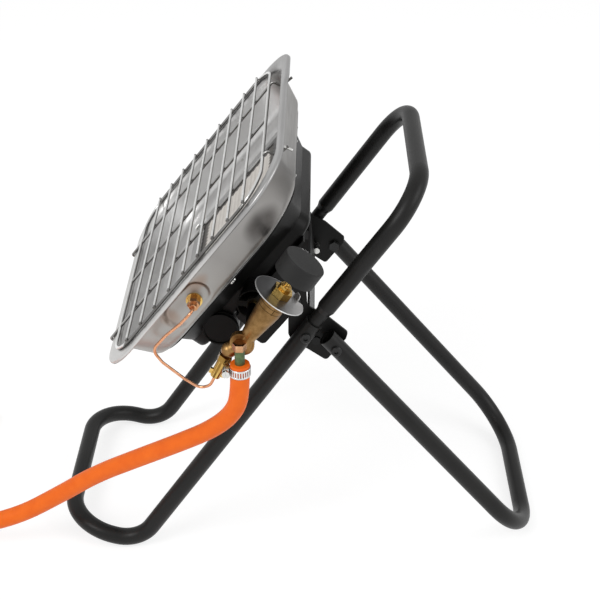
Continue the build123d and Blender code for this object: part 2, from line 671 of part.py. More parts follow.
def burner_housing():
    sleeve_r = MIXER_R + SEAT_GAP
    body = box_solid(0, BOX_BACK_N)
    body += frame_block(FLANGE_W, FLANGE_TOP, FLANGE_LOW, FLANGE_R, FLANGE_N, TRAY_N)
    body += mixer_bar(MIXER_FAR_X - HOUSING_T, MIXER_END_X - CAP_DEPTH / 2, sleeve_r + HOUSING_T)
    body -= box_solid(HOUSING_T, BOX_BACK_N + HOUSING_T)
    body -= mixer_bar(MIXER_FAR_X, MIXER_END_X, sleeve_r)
    outlet_u, outlet_n = outlet_point()
    throat_n = outlet_n + HORN_RISE
    body -= rod((0, outlet_u, throat_n), (BOX_W, outlet_u, throat_n), HORN_THROAT_R + HORN_T + RUN_GAP)
    for x, u in HOUSING_SCREWS:
        body -= Pos(x, u, FLANGE_N) * Cylinder(SCREW_R + RUN_GAP, 3 * HOUSING_T)
    for x, u in YOKE_SCREWS:
        body -= Pos(x, u, BOX_BACK_N) * Cylinder(SCREW_R + RUN_GAP, 3 * HOUSING_T)
    keep("burner_housing", HEAD_FRAME * body)


def diffuser_plate():
    wall = HOUSING_T + SLIDE_GAP
    top = BOX_TOP - wall
    low = MIXER_U + MIXER_R + SLIDE_GAP
    n = TRAY_N - DIFFUSER_DROP
    width = BOX_W - 2 * wall
    corner = BOX_R - wall
    plate = frame_block(width, top, low, corner, n - DIFFUSER_RIM, n)
    plate -= frame_block(width - 2 * DIFFUSER_T, top - DIFFUSER_T, low + DIFFUSER_T,
                         corner - DIFFUSER_T, n - DIFFUSER_RIM, n - DIFFUSER_T)
    spots = GridLocations(DIFFUSER_PITCH, DIFFUSER_PITCH, DIFFUSER_COLUMNS, DIFFUSER_ROWS)
    drill = Cylinder(DIFFUSER_HOLE_R, 3 * DIFFUSER_T)
    plate -= [Pos(0, (top + low) / 2, n) * (spot * drill) for spot in spots]
    keep("diffuser_plate", HEAD_FRAME * plate)


def mixing_tube():
    tube = mixer_bar(MIXER_FAR_X, MIXER_END_X, MIXER_R)
    tube -= mixer_bar(MIXER_FAR_X, MIXER_END_X, MIXER_R - MIXER_WALL)
    slot = Box(MIXER_SLOT_W, MIXER_R, 2 * MIXER_R, align=STANDING)
    first = -MIXER_SLOT_PITCH * (MIXER_SLOT_COUNT - 1) / 2
    tube -= [Pos(first + i * MIXER_SLOT_PITCH, MIXER_U, MIXER_N) * slot for i in range(MIXER_SLOT_COUNT)]
    keep("mixing_tube", HEAD_FRAME * tube)
    plug_r = MIXER_R - MIXER_WALL - SEAT_GAP
    cap = mixer_bar(MIXER_END_X - CAP_DEPTH, MIXER_END_X - CAP_T, plug_r)
    cap -= mixer_bar(MIXER_END_X - CAP_DEPTH, MIXER_END_X - 2 * CAP_T, plug_r - CAP_T)
    keep("mixer_end_cap", HEAD_FRAME * cap)


def air_horn():
    outlet_u, outlet_n = outlet_point()
    throat_n = outlet_n + HORN_RISE
    mouth = (HORN_MOUTH_X, outlet_u, outlet_n)
    step = (HORN_STEP_X, outlet_u, throat_n)

    def disc(centre, radius):
        return Plane(origin=centre, x_dir=(0, 1, 0), z_dir=(1, 0, 0)) * Circle(radius)

    outside = loft([disc(mouth, HORN_MOUTH_R), disc(step, HORN_THROAT_R + HORN_T)], ruled=True)
    inside = loft([disc(mouth, HORN_MOUTH_R - HORN_T), disc(step, HORN_THROAT_R)], ruled=True)
    inner_x = BOX_W / 2 - HOUSING_T
    spigot = rod((inner_x, outlet_u, throat_n), step, HORN_THROAT_R + HORN_T)
    bore = rod((inner_x, outlet_u, throat_n), step, HORN_THROAT_R)
    wall_x = BOX_W / 2
    collar_end = (wall_x + HORN_FLANGE_T, outlet_u, throat_n)
    collar = rod((wall_x, outlet_u, throat_n), collar_end, HORN_FLANGE_R)
    flat = Box(2 * BOX_W, 4 * HORN_FLANGE_R, BOX_BACK - BOX_EDGE_R - BOX_START, align=STANDING)
    collar &= Pos(0, outlet_u, BOX_BACK_N + BOX_EDGE_R) * flat
    horn = outside + spigot + collar - inside - bore
    bridge = rod((HORN_MOUTH_X - BRIDGE_T, outlet_u, outlet_n), mouth, BRIDGE_RING_R)
    for turn in BRIDGE_ARMS:
        arm = Pos(HORN_MOUTH_X - BRIDGE_T / 2, outlet_u, outlet_n) * Rot(turn, 0, 0)
        bridge += arm * Box(BRIDGE_T, BRIDGE_W, HORN_MOUTH_R - HORN_T / 2, align=STANDING)
    horn += bridge - rod((0, outlet_u, outlet_n), mouth, INJECTOR_R + RUN_GAP)
    keep("air_horn", HEAD_FRAME * horn)


def injector():
    hub = valve_point(OUTLET_AT)
    face = Vector(HORN_MOUTH_X, hub.Y, hub.Z)
    shank = rod((INJECTOR_TIP_X, face.Y, face.Z), face, INJECTOR_R)
    head = Plane(origin=face, z_dir=(1, 0, 0)) * hex_prism(INJECTOR_AF, INJECTOR_HEX_T)
    bore = rod((0, face.Y, face.Z), (VALVE_X, face.Y, face.Z), INJECTOR_BORE_R)
    keep("injector", shank + head - bore)


def arm_plate():
    outline = [(u, BOX_BACK_N - SEAT_GAP + n) for u, n in ARM_OUTLINE]
    return plate_yz(outline, EAR_INNER - ARM_T, EAR_INNER, ARM_CORNER_R)


def head_bracket():
    back = BOX_BACK_N
    height = YOKE_TOP_U - YOKE_LOW_U
    web = Pos(0, YOKE_LOW_U + height / 2, back) * Box(2 * EAR_INNER, height, ARM_T, align=HANGING)
    arm = arm_plate()
    body = web + arm + mirrored(arm)
    for x, u in YOKE_SCREWS:
        body -= Pos(x, u, back) * Cylinder(SCREW_R + RUN_GAP, 4 * ARM_T)
    outlet_u, outlet_n = outlet_point()
    horn_axis = Vector(HORN_STEP_X, outlet_u, outlet_n + HORN_RISE)
    mouth = Vector(HORN_MOUTH_X, outlet_u, outlet_n)
    cone_line = mouth - horn_axis
    foot_r = HORN_THROAT_R + HORN_T + HORN_RELIEF
    relief = Cone(foot_r, HORN_MOUTH_R + HORN_RELIEF, cone_line.length, align=STANDING)
    body -= Plane(origin=horn_axis, z_dir=cone_line) * relief
    body = HEAD_FRAME * body
    for y, z in HEAD_BOLTS:
        body -= x_hole(y, z, BOLT_R + RUN_GAP)
    keep("head_bracket", body)


def sheet_screw(grip):
    """A pan screw that points along +Z from its head's seat at Z = 0."""
    head = Cylinder(SCREW_HEAD_R, SCREW_HEAD_T, align=HANGING)
    slot = Pos(0, 0, -SCREW_HEAD_T) * Box(2 * SCREW_HEAD_R, SCREW_R / 2, SCREW_HEAD_T)
    return head - slot + Cylinder(SCREW_R, grip + SCREW_REACH, align=STANDING)


def head_screws():
    through = sheet_screw(PAN_T + TRAY_T + HOUSING_T)
    yoke = sheet_screw(ARM_T + HOUSING_T)
    front = Rot(180, 0, 0) * sheet_screw(RETAINER_T + PAN_T + TRAY_T)
    for name, screw, places, n in (("housing_screws", through, HOUSING_SCREWS, FLANGE_N),
                                   ("yoke_screws", yoke, YOKE_SCREWS, BOX_BACK_N - ARM_T),
                                   ("retainer_screws", front, RETAINER_SCREWS, FLOOR_N + RETAINER_T)):
        keep(name, *[HEAD_FRAME * (Pos(x, u, n) * screw) for x, u in places])


# ---------------------------------------------------------------- valve
def turned(*profile):
    """A body of revolution about the valve's line, from radius and height pairs."""
    outline = [(0, profile[0][1]), *profile, (0, profile[-1][1])]
    face = Plane.XZ * make_face(Polyline(*outline, close=True))
    return VALVE_FRAME * revolve(face, Axis.Z)


def valve_body():
    body = turned((BODY_LOW_R, 0), (BODY_LOW_R, BODY_TAPER_START), (BODY_TOP_R, BODY_TAPER_END),
                  (BODY_TOP_R, BODY_TOP))
    ball = Sphere(COLLAR_R) - Pos(BOSS_END, 0, 0) * Box(
        COLLAR_R, 2 * COLLAR_R, 2 * COLLAR_R, align=(Align.MIN, Align.CENTER, Align.CENTER))
    body += VALVE_FRAME * ball
    centre = VALVE_FRAME.origin
    limb_top = Vector(VALVE_X, *LIMB_TOP)
    body += rod(centre, limb_top, LIMB_BOSS_R) + Pos(*limb_top) * Sphere(LIMB_BALL_R)
    body += rod(centre - Vector(COLLAR_RING_X, 0, 0), centre + Vector(COLLAR_RING_X, 0, 0), COLLAR_RING_R)
    inlet = Vector(VALVE_X, INLET_Y, INLET_Z)
    body += rod(inlet, inlet + Vector(BOSS_END, 0, 0), BOSS_R)
    outlet = valve_point(OUTLET_AT)
    end = Vector(HORN_MOUTH_X + INJECTOR_HEX_T, outlet.Y, outlet.Z)
    body += rod(end, outlet, OUTLET_R)
    body -= turned((BODY_BORE_R, BODY_BORE_FLOOR), (BODY_BORE_R, BODY_TOP))
    body -= turned((OUTLET_BORE_R, OUTLET_AT), (OUTLET_BORE_R, BODY_BORE_FLOOR))
    body -= rod(end, outlet, OUTLET_BORE_R)
    spigot_start = inlet + Vector(BOSS_END - INLET_SPIGOT_L, 0, 0)
    body -= rod(spigot_start, (INLET_X, INLET_Y, INLET_Z), INLET_SPIGOT_R + RUN_GAP)
    nut_half = INLET_NUT_T / 2 + RUN_GAP
    seat_r = INLET_NUT_AF / 2 * HEX_CORNER + SLIDE_GAP
    nut_mid = Vector(INLET_X, INLET_Y, INLET_Z)
    body -= rod(nut_mid - Vector(0, 0, nut_half), nut_mid + Vector(0, 0, nut_half), seat_r)
    magnet = magnet_line()
    body -= rod(limb_top, limb_top + magnet * 2 * LIMB_BOSS_R, MAGNET_R / 2 + RUN_GAP)
    keep("valve_body", body)


def tap_plug():
    plug_r = BODY_BORE_R - RUN_GAP
    top = BODY_BORE_FLOOR + PLUG_H
    plug = turned((plug_r, BODY_BORE_FLOOR + RUN_GAP), (plug_r, top))
    socket = Pos(0, 0, top) * Box(PLUG_SOCKET_AF, PLUG_SOCKET_AF, PLUG_SOCKET_H, align=HANGING)
    port = Rot(0, 90, 0) * Cylinder(PLUG_PORT_R / 2, 2 * BODY_TOP_R)
    port = Pos(0, 0, BODY_BORE_FLOOR + PLUG_PORT_R) * port
    keep("tap_plug", plug - VALVE_FRAME * socket - VALVE_FRAME * port)


def spindle_collar_top():
    return BODY_TOP - BONNET_DEPTH - RUN_GAP


def valve_bonnet():
    low = BODY_TOP - BONNET_DEPTH
    thread_r = BODY_BORE_R - SEAT_GAP
    body = turned((thread_r, low), (thread_r, BODY_TOP), (BONNET_SHOULDER_R, BODY_TOP),
                  (BONNET_SHOULDER_R, SHIELD_AT), (BONNET_R, SHIELD_AT), (BONNET_R, BONNET_STEP),
                  (BONNET_NECK_R, BONNET_STEP), (BONNET_NECK_R, BONNET_TOP))
    bore_r = SPINDLE_R + RUN_GAP
    keep("valve_bonnet", body - turned((bore_r, low), (bore_r, BONNET_TOP)))
    for name, across, height, hole_r, s in (
            ("bonnet_nut", NUT_A_AF, NUT_A_T, BONNET_R, SHIELD_AT + SHIELD_T),
            ("gland_nut", NUT_B_AF, NUT_B_T, BONNET_NECK_R, BONNET_STEP)):
        nut = chamfered_nut(across, height) - Cylinder(hole_r + SEAT_GAP, 3 * height)
        keep(name, VALVE_FRAME * (Pos(0, 0, s) * nut))


def flame_shield():
    disc = Cylinder(SHIELD_R, SHIELD_T, align=STANDING)
    disc -= Cylinder(BONNET_R + SEAT_GAP, 3 * SHIELD_T)
    tab = Box(SHIELD_TAB_W, SHIELD_T, SHIELD_TAB_H, align=(Align.CENTER, Align.MAX, Align.MIN))
    shield = disc + Pos(0, SHIELD_R, 0) * tab & Cylinder(SHIELD_R, 3 * SHIELD_TAB_H)
    keep("flame_shield", VALVE_FRAME * (Pos(0, 0, SHIELD_AT) * shield))


def chamfered_nut(across, height):
    """A hexagon whose corners are rounded by a cone, as on a turned blank."""
    flat_r = across / 2
    corner_r = flat_r * HEX_CORNER
    cone = Cone(corner_r + height, flat_r, corner_r + 2 * height - flat_r, align=STANDING)
    return hex_prism(across, height) & cone


def knob_group():
    top = KNOB_AT + KNOB_H
    collar_top = spindle_collar_top()
    collar_low = collar_top - SPINDLE_COLLAR_T
    square_low = BODY_BORE_FLOOR + PLUG_H - SPINDLE_SQUARE_DIP
    end = KNOB_AT - KNOB_HUB_DROP + KNOB_BORE
    beyond = (Align.CENTER, Align.MIN, Align.MIN)
    spindle = turned((SPINDLE_R, collar_low), (SPINDLE_COLLAR_R, collar_low),
                     (SPINDLE_COLLAR_R, collar_top), (SPINDLE_R, collar_top), (SPINDLE_R, end))
    flat = Pos(0, SPINDLE_FLAT, KNOB_AT) * Box(2 * SPINDLE_R, 2 * SPINDLE_R, KNOB_H, align=beyond)
    square = Box(SPINDLE_SQUARE_AF, SPINDLE_SQUARE_AF, collar_low - square_low, align=STANDING)
    spindle += VALVE_FRAME * (Pos(0, 0, square_low) * square)
    keep("valve_spindle", spindle - VALVE_FRAME * flat)
    helix = Helix(SPRING_PITCH, SPRING_PITCH * SPRING_TURNS, SPRING_R)
    coil = sweep(Plane(origin=helix @ 0, z_dir=helix % 0) * Circle(SPRING_WIRE_R), path=helix, is_frenet=True)
    drop = collar_low - SPRING_PITCH * SPRING_TURNS - SPRING_WIRE_R - RUN_GAP
    keep("return_spring", VALVE_FRAME * (Pos(0, 0, drop) * coil))
    skirt = turned((KNOB_R, KNOB_AT), (KNOB_R, top))
    skirt = fillet(skirt.edges().filter_by(GeomType.CIRCLE).sort_by(Axis.Z)[-1], KNOB_EDGE_R)
    skirt -= turned((KNOB_R - KNOB_WALL, KNOB_AT), (KNOB_R - KNOB_WALL, top - KNOB_WALL))
    hub = turned((KNOB_HUB_R, KNOB_AT - KNOB_HUB_DROP), (KNOB_HUB_R, top - KNOB_WALL))
    bore = Cylinder(SPINDLE_R + RUN_GAP, KNOB_BORE, align=STANDING)
    bore = VALVE_FRAME * (Pos(0, 0, KNOB_AT - KNOB_HUB_DROP) * bore)
    key = Box(2 * KNOB_HUB_R, KNOB_HUB_R, KNOB_H, align=beyond)
    key = VALVE_FRAME * (Pos(0, SPINDLE_FLAT + RUN_GAP, KNOB_AT + RUN_GAP) * key)
    keep("control_knob", skirt + hub - (bore - key))


# ---------------------------------------------------------------- gas inlet and hose
def inlet():
    nut_low = INLET_Z - INLET_NUT_T / 2
    boss_x = VALVE_X + BOSS_END
    nut = Rot(0, 0, HEX_TURN) * hex_prism(INLET_NUT_AF, INLET_NUT_T)
    nut = Pos(INLET_X, INLET_Y, nut_low) * nut
    spigot_start = (boss_x - INLET_SPIGOT_L, INLET_Y, INLET_Z)
    spigot = rod(spigot_start, (INLET_X, INLET_Y, INLET_Z), INLET_SPIGOT_R)
    core = rod((INLET_X, INLET_Y, nut_low), (INLET_X, INLET_Y, INLET_Z), TAIL_BORE_R)
    keep("inlet_elbow", nut + spigot - core)
    foot = HOSE_TOP_Z - TAIL_DEPTH
    tail = rod((INLET_X, INLET_Y, foot), (INLET_X, INLET_Y, nut_low), TAIL_R)
    tail -= rod((INLET_X, INLET_Y, foot), (INLET_X, INLET_Y, nut_low), TAIL_BORE_R)
    keep("hose_tail", tail)


def hose_clamp():
    band_r = HOSE_R + SEAT_GAP
    low = HOSE_TOP_Z - CLAMP_DROP - CLAMP_W
    band = Cylinder(band_r + CLAMP_T, CLAMP_W, align=STANDING)
    beside = (Align.CENTER, Align.MAX, Align.MIN)
    worm_box = Box(CLAMP_BOX_W, CLAMP_BOX_D, CLAMP_W, align=beside)
    band += Pos(0, -(band_r + CLAMP_T / 2), 0) * worm_box
    band -= Cylinder(band_r, 3 * CLAMP_W)
    screw_y = -(band_r + CLAMP_BOX_D / 2)
    start = (-CLAMP_BOX_W / 2 - CLAMP_SCREW_TIP, screw_y, CLAMP_W / 2)
    end = (start[0] + CLAMP_SCREW_L, screw_y, CLAMP_W / 2)
    band -= rod(start, end, CLAMP_SCREW_R + RUN_GAP)
    screw = rod(start, end, CLAMP_SCREW_R)
    head_x = CLAMP_BOX_W / 2 + RUN_GAP
    head_end = (head_x + CLAMP_HEAD_T, screw_y, CLAMP_W / 2)
    head = rod((head_x, screw_y, CLAMP_W / 2), head_end, CLAMP_HEAD_R)
    slot = Pos(*head_end) * Box(CLAMP_HEAD_T, CLAMP_T, 2 * CLAMP_HEAD_R)
    place = Pos(INLET_X, INLET_Y, low)
    keep("hose_clamp", place * band)
    keep("clamp_screw", place * (screw + head - slot))


def coil_ring():
    section = Pos(COIL_R, COIL_LAYERS * HOSE_R) * RectangleRounded(
        2 * HOSE_R, 2 * HOSE_R * COIL_LAYERS, HOSE_R - SEAT_GAP)
    return Pos(COIL_X, COIL_Y, 0) * revolve(Plane.XZ * section, Axis.Z)


def route_bar(name, points):
    """A cord's bar along its route; prints its radii and compares its volume."""
    radii = arc_radii(points)
    path = FilletPolyline(*points, radius=radii)
    bar = along(path, HOSE_R)
    expected = math.pi * HOSE_R ** 2 * path.length
    print(name, "length", round(path.length, 1), "radii", [round(r, 1) for r in radii],
          "volume ratio", round(bar.volume / expected, 5))
    return bar


def hose():
    top = (INLET_X, INLET_Y, HOSE_TOP_Z)
    coil = coil_ring()
    bar = route_bar("gas_hose", [top] + HOSE_ROUTE) - coil
    bore_end = (INLET_X, INLET_Y, HOSE_TOP_Z - TAIL_DEPTH - TAIL_CLEAR)
    bar -= rod(bore_end, top, TAIL_R + SEAT_GAP)
    keep("gas_hose", bar.solids().sort_by(SortBy.VOLUME)[-1])
    keep("hose_coil", coil)
    run = route_bar("hose_end_run", END_ROUTE) - coil
    keep("hose_end_run", run.solids().sort_by(SortBy.VOLUME)[-1])
    print("coil length", round(2 * math.pi * COIL_R * COIL_TURNS, 1))


def hose_end():
    tip = Vector(*END_ROUTE[-1])
    place = Plane(origin=tip, x_dir=(1, 0, 0), z_dir=(0, 1, 0))
    inner = HOSE_R + SEAT_GAP
    sleeve = Cylinder(inner + FERRULE_T, FERRULE_L, align=HANGING)
    sleeve -= Cylinder(inner, FERRULE_L, align=HANGING)
    cap = Cylinder(inner + FERRULE_T, FERRULE_END_T, align=STANDING)
    nipple_l = UNION_LIP + NIPPLE_HEAD_T + FERRULE_END_T + 2 * RUN_GAP
    nipple = Cylinder(NIPPLE_R, nipple_l, align=STANDING)
    nipple += Pos(0, 0, nipple_l) * Cylinder(NIPPLE_HEAD_R, NIPPLE_HEAD_T, align=HANGING)
    bore = Cylinder(NIPPLE_BORE_R, 2 * nipple_l, align=STANDING)
    keep("hose_ferrule", place * (sleeve + cap + nipple - bore))
    seat_l = NIPPLE_HEAD_T + 2 * RUN_GAP
    nut = Rot(0, 0, HEX_TURN) * hex_prism(UNION_AF, UNION_L)
    nut -= Cylinder(NIPPLE_R + RUN_GAP, 3 * UNION_LIP)
    nut -= Pos(0, 0, UNION_LIP) * Cylinder(UNION_SEAT_R, seat_l, align=STANDING)
    nut -= Pos(0, 0, UNION_LIP + seat_l) * Cylinder(UNION_BORE_R, UNION_L, align=STANDING)
    keep("coupling_nut", place * (Pos(0, 0, FERRULE_END_T + RUN_GAP) * nut))


# ---------------------------------------------------------------- thermocouple
def magnet_line():
    return (Vector(0, *LIMB_END) - Vector(0, *LIMB_TOP)).normalized()


def safety_magnet():
    line = magnet_line()
    top = Vector(VALVE_X, *LIMB_TOP)
    end = Vector(VALVE_X, *LIMB_END)
    hex_start = top + line * LIMB_BOSS_R
    body = Plane(origin=hex_start, x_dir=(1, 0, 0), z_dir=line) * hex_prism(MAGNET_HEX_AF, MAGNET_HEX_T)
    body += rod(hex_start, end, MAGNET_R) + rod(top + line, hex_start, MAGNET_R / 2)
    keep("safety_magnet", body)
    wing_place = Plane(origin=end, x_dir=(1, 0, 0), z_dir=line)
    wing = Cylinder(WING_NUT_R, WING_NUT_L, align=STANDING)
    wing += Box(WING_T, WING_SPAN, WING_H, align=STANDING)
    wing -= Cylinder(CAPILLARY_R + RUN_GAP, 3 * WING_NUT_L)
    keep("thermocouple_nut", wing_place * wing)


def thermocouple():
    line = magnet_line()
    start = Vector(VALVE_X, *LIMB_END)
    exit_point = start + line * (WING_NUT_L + CAPILLARY_LEAD)
    seat = HEAD_FRAME.from_local_coords(Vector(RECESS_X, SENSOR_U, SENSOR_N))
    nut_x = RECESS_X + SENSOR_WASHER_T
    neck_x = nut_x + SENSOR_NUT_T
    end_x = neck_x + SENSOR_NECK_L
    washer = rod(seat, (nut_x, seat.Y, seat.Z), SENSOR_WASHER_R)
    washer -= rod(seat, (nut_x, seat.Y, seat.Z), SENSOR_TIP_R + SEAT_GAP)
    keep("sensor_washer", washer)
    nut_frame = Plane(origin=(nut_x, seat.Y, seat.Z), x_dir=(0, 1, 0), z_dir=(1, 0, 0))
    nut = nut_frame * hex_prism(SENSOR_NUT_AF, SENSOR_NUT_T)
    nut += rod((neck_x, seat.Y, seat.Z), (end_x, seat.Y, seat.Z), SENSOR_NECK_R)
    probe_end = (neck_x - SENSOR_TIP_GAP, seat.Y, seat.Z)
    nut -= rod(seat, probe_end, SENSOR_TIP_R + SEAT_GAP)
    nut -= rod(seat, (end_x, seat.Y, seat.Z), CAPILLARY_R + SEAT_GAP)
    keep("sensor_nut", nut)
    keep("thermocouple_probe", rod((SENSOR_TIP_X, seat.Y, seat.Z), probe_end, SENSOR_TIP_R))
    route = [start, exit_point, *[Vector(*p) for p in CAPILLARY_ROUTE],
             Vector(end_x + SENSOR_LEAD, seat.Y, seat.Z), Vector(*probe_end)]
    points = [tuple(p) for p in route]
    radii = [min(r, CAPILLARY_BEND) for r in arc_radii(points)]
    keep("capillary_tube", along(FilletPolyline(*points, radius=radii), CAPILLARY_R))


# ---------------------------------------------------------------- assembly
for build in (front_leg, carry_handle, rear_leg, stand_bracket, stand_fasteners,
              dish_reflector, wire_guard, ceramic_plaques, plaque_gasket, plaque_retainer,
              tile_tray, burner_housing, diffuser_plate, mixing_tube, air_horn, injector,
              head_bracket, head_screws, valve_body, tap_plug, valve_bonnet, flame_shield,
              knob_group, inlet, hose_clamp, hose, hose_end, safety_magnet, thermocouple):
    build()

os.makedirs("parts", exist_ok=True)
for name, solids in nodes.items():
    moved = [SHIFT * solid for solid in solids]
    shape = moved[0] if len(moved) == 1 else Compound(children=[Part(s.wrapped) for s in moved])
    export_step(shape, "parts/" + name + ".step")
print(len(nodes), "nodes")
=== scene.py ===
import json
import math

import bmesh
import bpy
from mathutils import Matrix, Vector

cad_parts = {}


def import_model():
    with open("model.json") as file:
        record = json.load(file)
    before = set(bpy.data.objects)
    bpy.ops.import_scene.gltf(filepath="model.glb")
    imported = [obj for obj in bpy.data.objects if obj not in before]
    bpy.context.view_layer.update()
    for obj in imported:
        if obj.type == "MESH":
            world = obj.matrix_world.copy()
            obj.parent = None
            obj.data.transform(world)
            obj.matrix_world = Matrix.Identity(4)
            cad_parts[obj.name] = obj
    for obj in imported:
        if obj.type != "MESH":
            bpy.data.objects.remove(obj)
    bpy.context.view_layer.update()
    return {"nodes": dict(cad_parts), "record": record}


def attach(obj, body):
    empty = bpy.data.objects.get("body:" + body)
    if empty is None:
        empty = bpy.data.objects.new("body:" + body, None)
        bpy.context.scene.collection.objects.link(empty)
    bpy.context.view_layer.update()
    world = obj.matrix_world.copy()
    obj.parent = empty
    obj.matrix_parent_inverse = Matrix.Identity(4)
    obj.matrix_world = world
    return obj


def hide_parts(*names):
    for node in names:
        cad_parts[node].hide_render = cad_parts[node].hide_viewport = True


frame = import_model()
NODES = frame["nodes"]

# ---------------------------------------------------------------- sizes and frames
# Millimetres of the stand's own frame, as in the CAD model; to_row() gives the row's metres.
MM = 0.001
SHIFT = Vector((-14.3, -1.75, 0.0))

HEAD_TILT = math.radians(37.5)
HEAD_ORIGIN = Vector((0.0, -86.5, 311.8))
VALVE_ORIGIN = Vector((147.0, -43.2, 256.8))
VALVE_RISE = math.radians(56.6)

# dish: width, top, low, corner radius
RIM = (282.0, 122.0, -122.0, 42.0)
MOUTH = (260.0, 111.0, -111.0, 46.0)
DISH_BACK = (248.0, 96.0, -100.0, 44.0)
DISH_WINDOW = (136.0, 68.0, -53.0, 2.0)
DISH_FLOOR = -32.4
SHEET = 1.0
# Above the second level the rim's tone carries painted shade, darkest toward its top.
RIM_LEVELS = (-4.2, -3.1)  # the wall's tone below the first, the rim's above the second
POCKET_U = -27.0
POCKET_N = -17.5
POCKET_HALF = 12.5
POCKET_R = 11.0
POCKET_SEAT = 124.4
POCKET_EDGE = 3.6
POCKET_FROM_X = 100.0      # the recess is in the wall past this

# plaque window, the painted shadow along the edge of its retainer, and the painted toothed shadow on the
# ceramic
WINDOW_HALF_W = 61.0
WINDOW_HALF_H = 53.5
WINDOW_U = 7.5
WINDOW_EDGE = 6.5
TOOTH_PITCH = 6.3
TOOTH_SHADOW = 3.2
TOOTH_START = 200.0        # keeps the count of teeth positive along the whole window
SHADOW_BAND = 4.6
SHADOW_SOFT = 0.3

# flange of the rim: drawn in along its top, from an X and a U on, each over a reach
TOP_DROP = 2.6
TOP_DROP_X = -60.0
TOP_DROP_REACH_X = 22.0
TOP_DROP_U = 20.0
TOP_DROP_REACH_U = 80.0

# guard: level between its long and cross wires, where the ends of its cross wires get painted shade, and its
# hook's end
WIRE_LEVEL = 2.5
LONG_WIRES_X = 80.0
TIP_SHADE_X = 129.5
HOOK_X = 76.0
HOOK_R = 1.15
HOOK_TAIL = [(112.6, -4.8), (114.6, -10.6), (115.0, -14.6)]

# flame shield
SHIELD_AT = 52.9
SHIELD_R = 22.6
SHIELD_HOLE_R = 5.65
SHIELD_T = 0.8
TAB_ANGLE = 122.0
TAB_HALF = 11.0            # degrees each side of the tab's middle
TAB_NOTCH = 7.0            # degrees over which the notch beside it opens
TAB_R = 18.6
TAB_H = 4.8
TAB_CORNER = 0.55          # share of its half width where a top corner starts to round
TAB_CORNER_DROP = 2.75
TAB_STEPS = 14

# valve body: two scribed rings, and where its blackened outlet starts
SCRIBE = (40.5, 44.5)
SPIGOT_X = -11.4

# hose and its clamp
CLAMP_LOW = 233.5
CLAMP_W = 8.0
CLAMP_R = 8.5
CLAMP_OUT = 0.3
CLAMP_SHEET = 0.65
CLAMP_EDGE = 0.5
CLAMP_BEVEL = 0.15
CLAMP_SLOTS = 26
SLOT_MARGIN = 1.7
SLOT_COLUMNS = 4           # columns per slot, of which the slot takes two
WORM_OUT = 11.05
WORM_HALF = 4.45
WORM_HOUSING_R = 3.3
WORM_HOUSING_IN = 0.3
WORM_FOOT = 0.1
WORM_SHOULDER = 1.2
WORM_ENDS = [(0.0, 0.7), (0.25, 0.2), (0.8, 0.0)]    # in from an end, and in from the outline
ARCH_STEPS = 12
HOSE_R = 8.0
HOSE_TOP = (158.0, -45.4, 244.0)
HOSE_ROUTE = [
    (158.0, -45.4, 214.0), (156.0, -52.0, 193.5), (151.5, -70.0, 174.0), (145.0, -98.5, 155.0),
    (134.0, -139.0, 128.5), (123.0, -176.5, 103.0), (113.5, -214.0, 71.0), (109.5, -254.0, 43.0),
    (107.0, -300.0, 27.0), (106.0, -352.0, 24.0), (106.0, -394.0, 24.2),
]
COIL_CENTRE = (12.0, -430.0)
COIL_R = 94.0
COIL_TURNS = 1.5
COIL_HOLD = 225.0          # degrees round the coil before it comes down
COIL_DOWN = 360.0
COIL_STEPS = 24            # points per turn
COIL_LIFT = 24.0
COIL_REST = 8.0
END_ROUTE = [(-82.0, -403.0, 9.4), (-82.0, -376.0, 13.0), (-82.0, -350.0, 13.0)]

# camera in degrees, millimetres of lens and the row's metres
CAMERA_ELEVATION = 30.565
CAMERA_HEADING = -0.609
CAMERA_ROLL = 0.2956
CAMERA_LENS = 78.06
CAMERA_SENSOR = 36.0
CAMERA_PLACE = (1.01695, 0.0102, 0.81965)

# studio: metres, watts and plain light levels
FLOOR_HALF = 6.0
FLOOR_GLOW = 0.74
FLOOR_SOFT = (0.4, 0.4, 0.4, 1.0)
WORLD_LEVEL = 0.55
LAMP_TARGET = (0.0, 0.0, 0.2)
KEY_PLACE = (1.2, -1.2, 1.6)
KEY_SIZE = 0.9
KEY_POWER = 16.0
FILL_PLACE = (0.6, 1.4, 1.2)
FILL_SIZE = 1.0
FILL_POWER = 8.0


def to_row(point):
    """A point of the stand's own frame, in the row's metres."""
    return (Vector(point) + SHIFT) * MM


def frame_matrix(origin, x_axis, z_axis):
    """A place in the row frame whose own coordinates are millimetres."""
    z_axis = Vector(z_axis).normalized()
    x_axis = Vector(x_axis).normalized()
    y_axis = z_axis.cross(x_axis)
    turn = Matrix((x_axis, y_axis, z_axis)).transposed().to_4x4()
    return Matrix.Translation(to_row(origin)) @ turn @ Matrix.Scale(MM, 4)


STAND = frame_matrix((0.0, 0.0, 0.0), (1, 0, 0), (0, 0, 1))
HEAD = frame_matrix(HEAD_ORIGIN, (1, 0, 0), (0, -math.cos(HEAD_TILT), math.sin(HEAD_TILT)))
VALVE = frame_matrix(VALVE_ORIGIN, (1, 0, 0), (0, math.cos(VALVE_RISE), math.sin(VALVE_RISE)))


# ---------------------------------------------------------------- material helpers
def new_material(name):
    """A material with its node tree and its shader."""
    material = bpy.data.materials.new(name)
    material.use_nodes = True
    return material, material.node_tree, material.node_tree.nodes["Principled BSDF"]


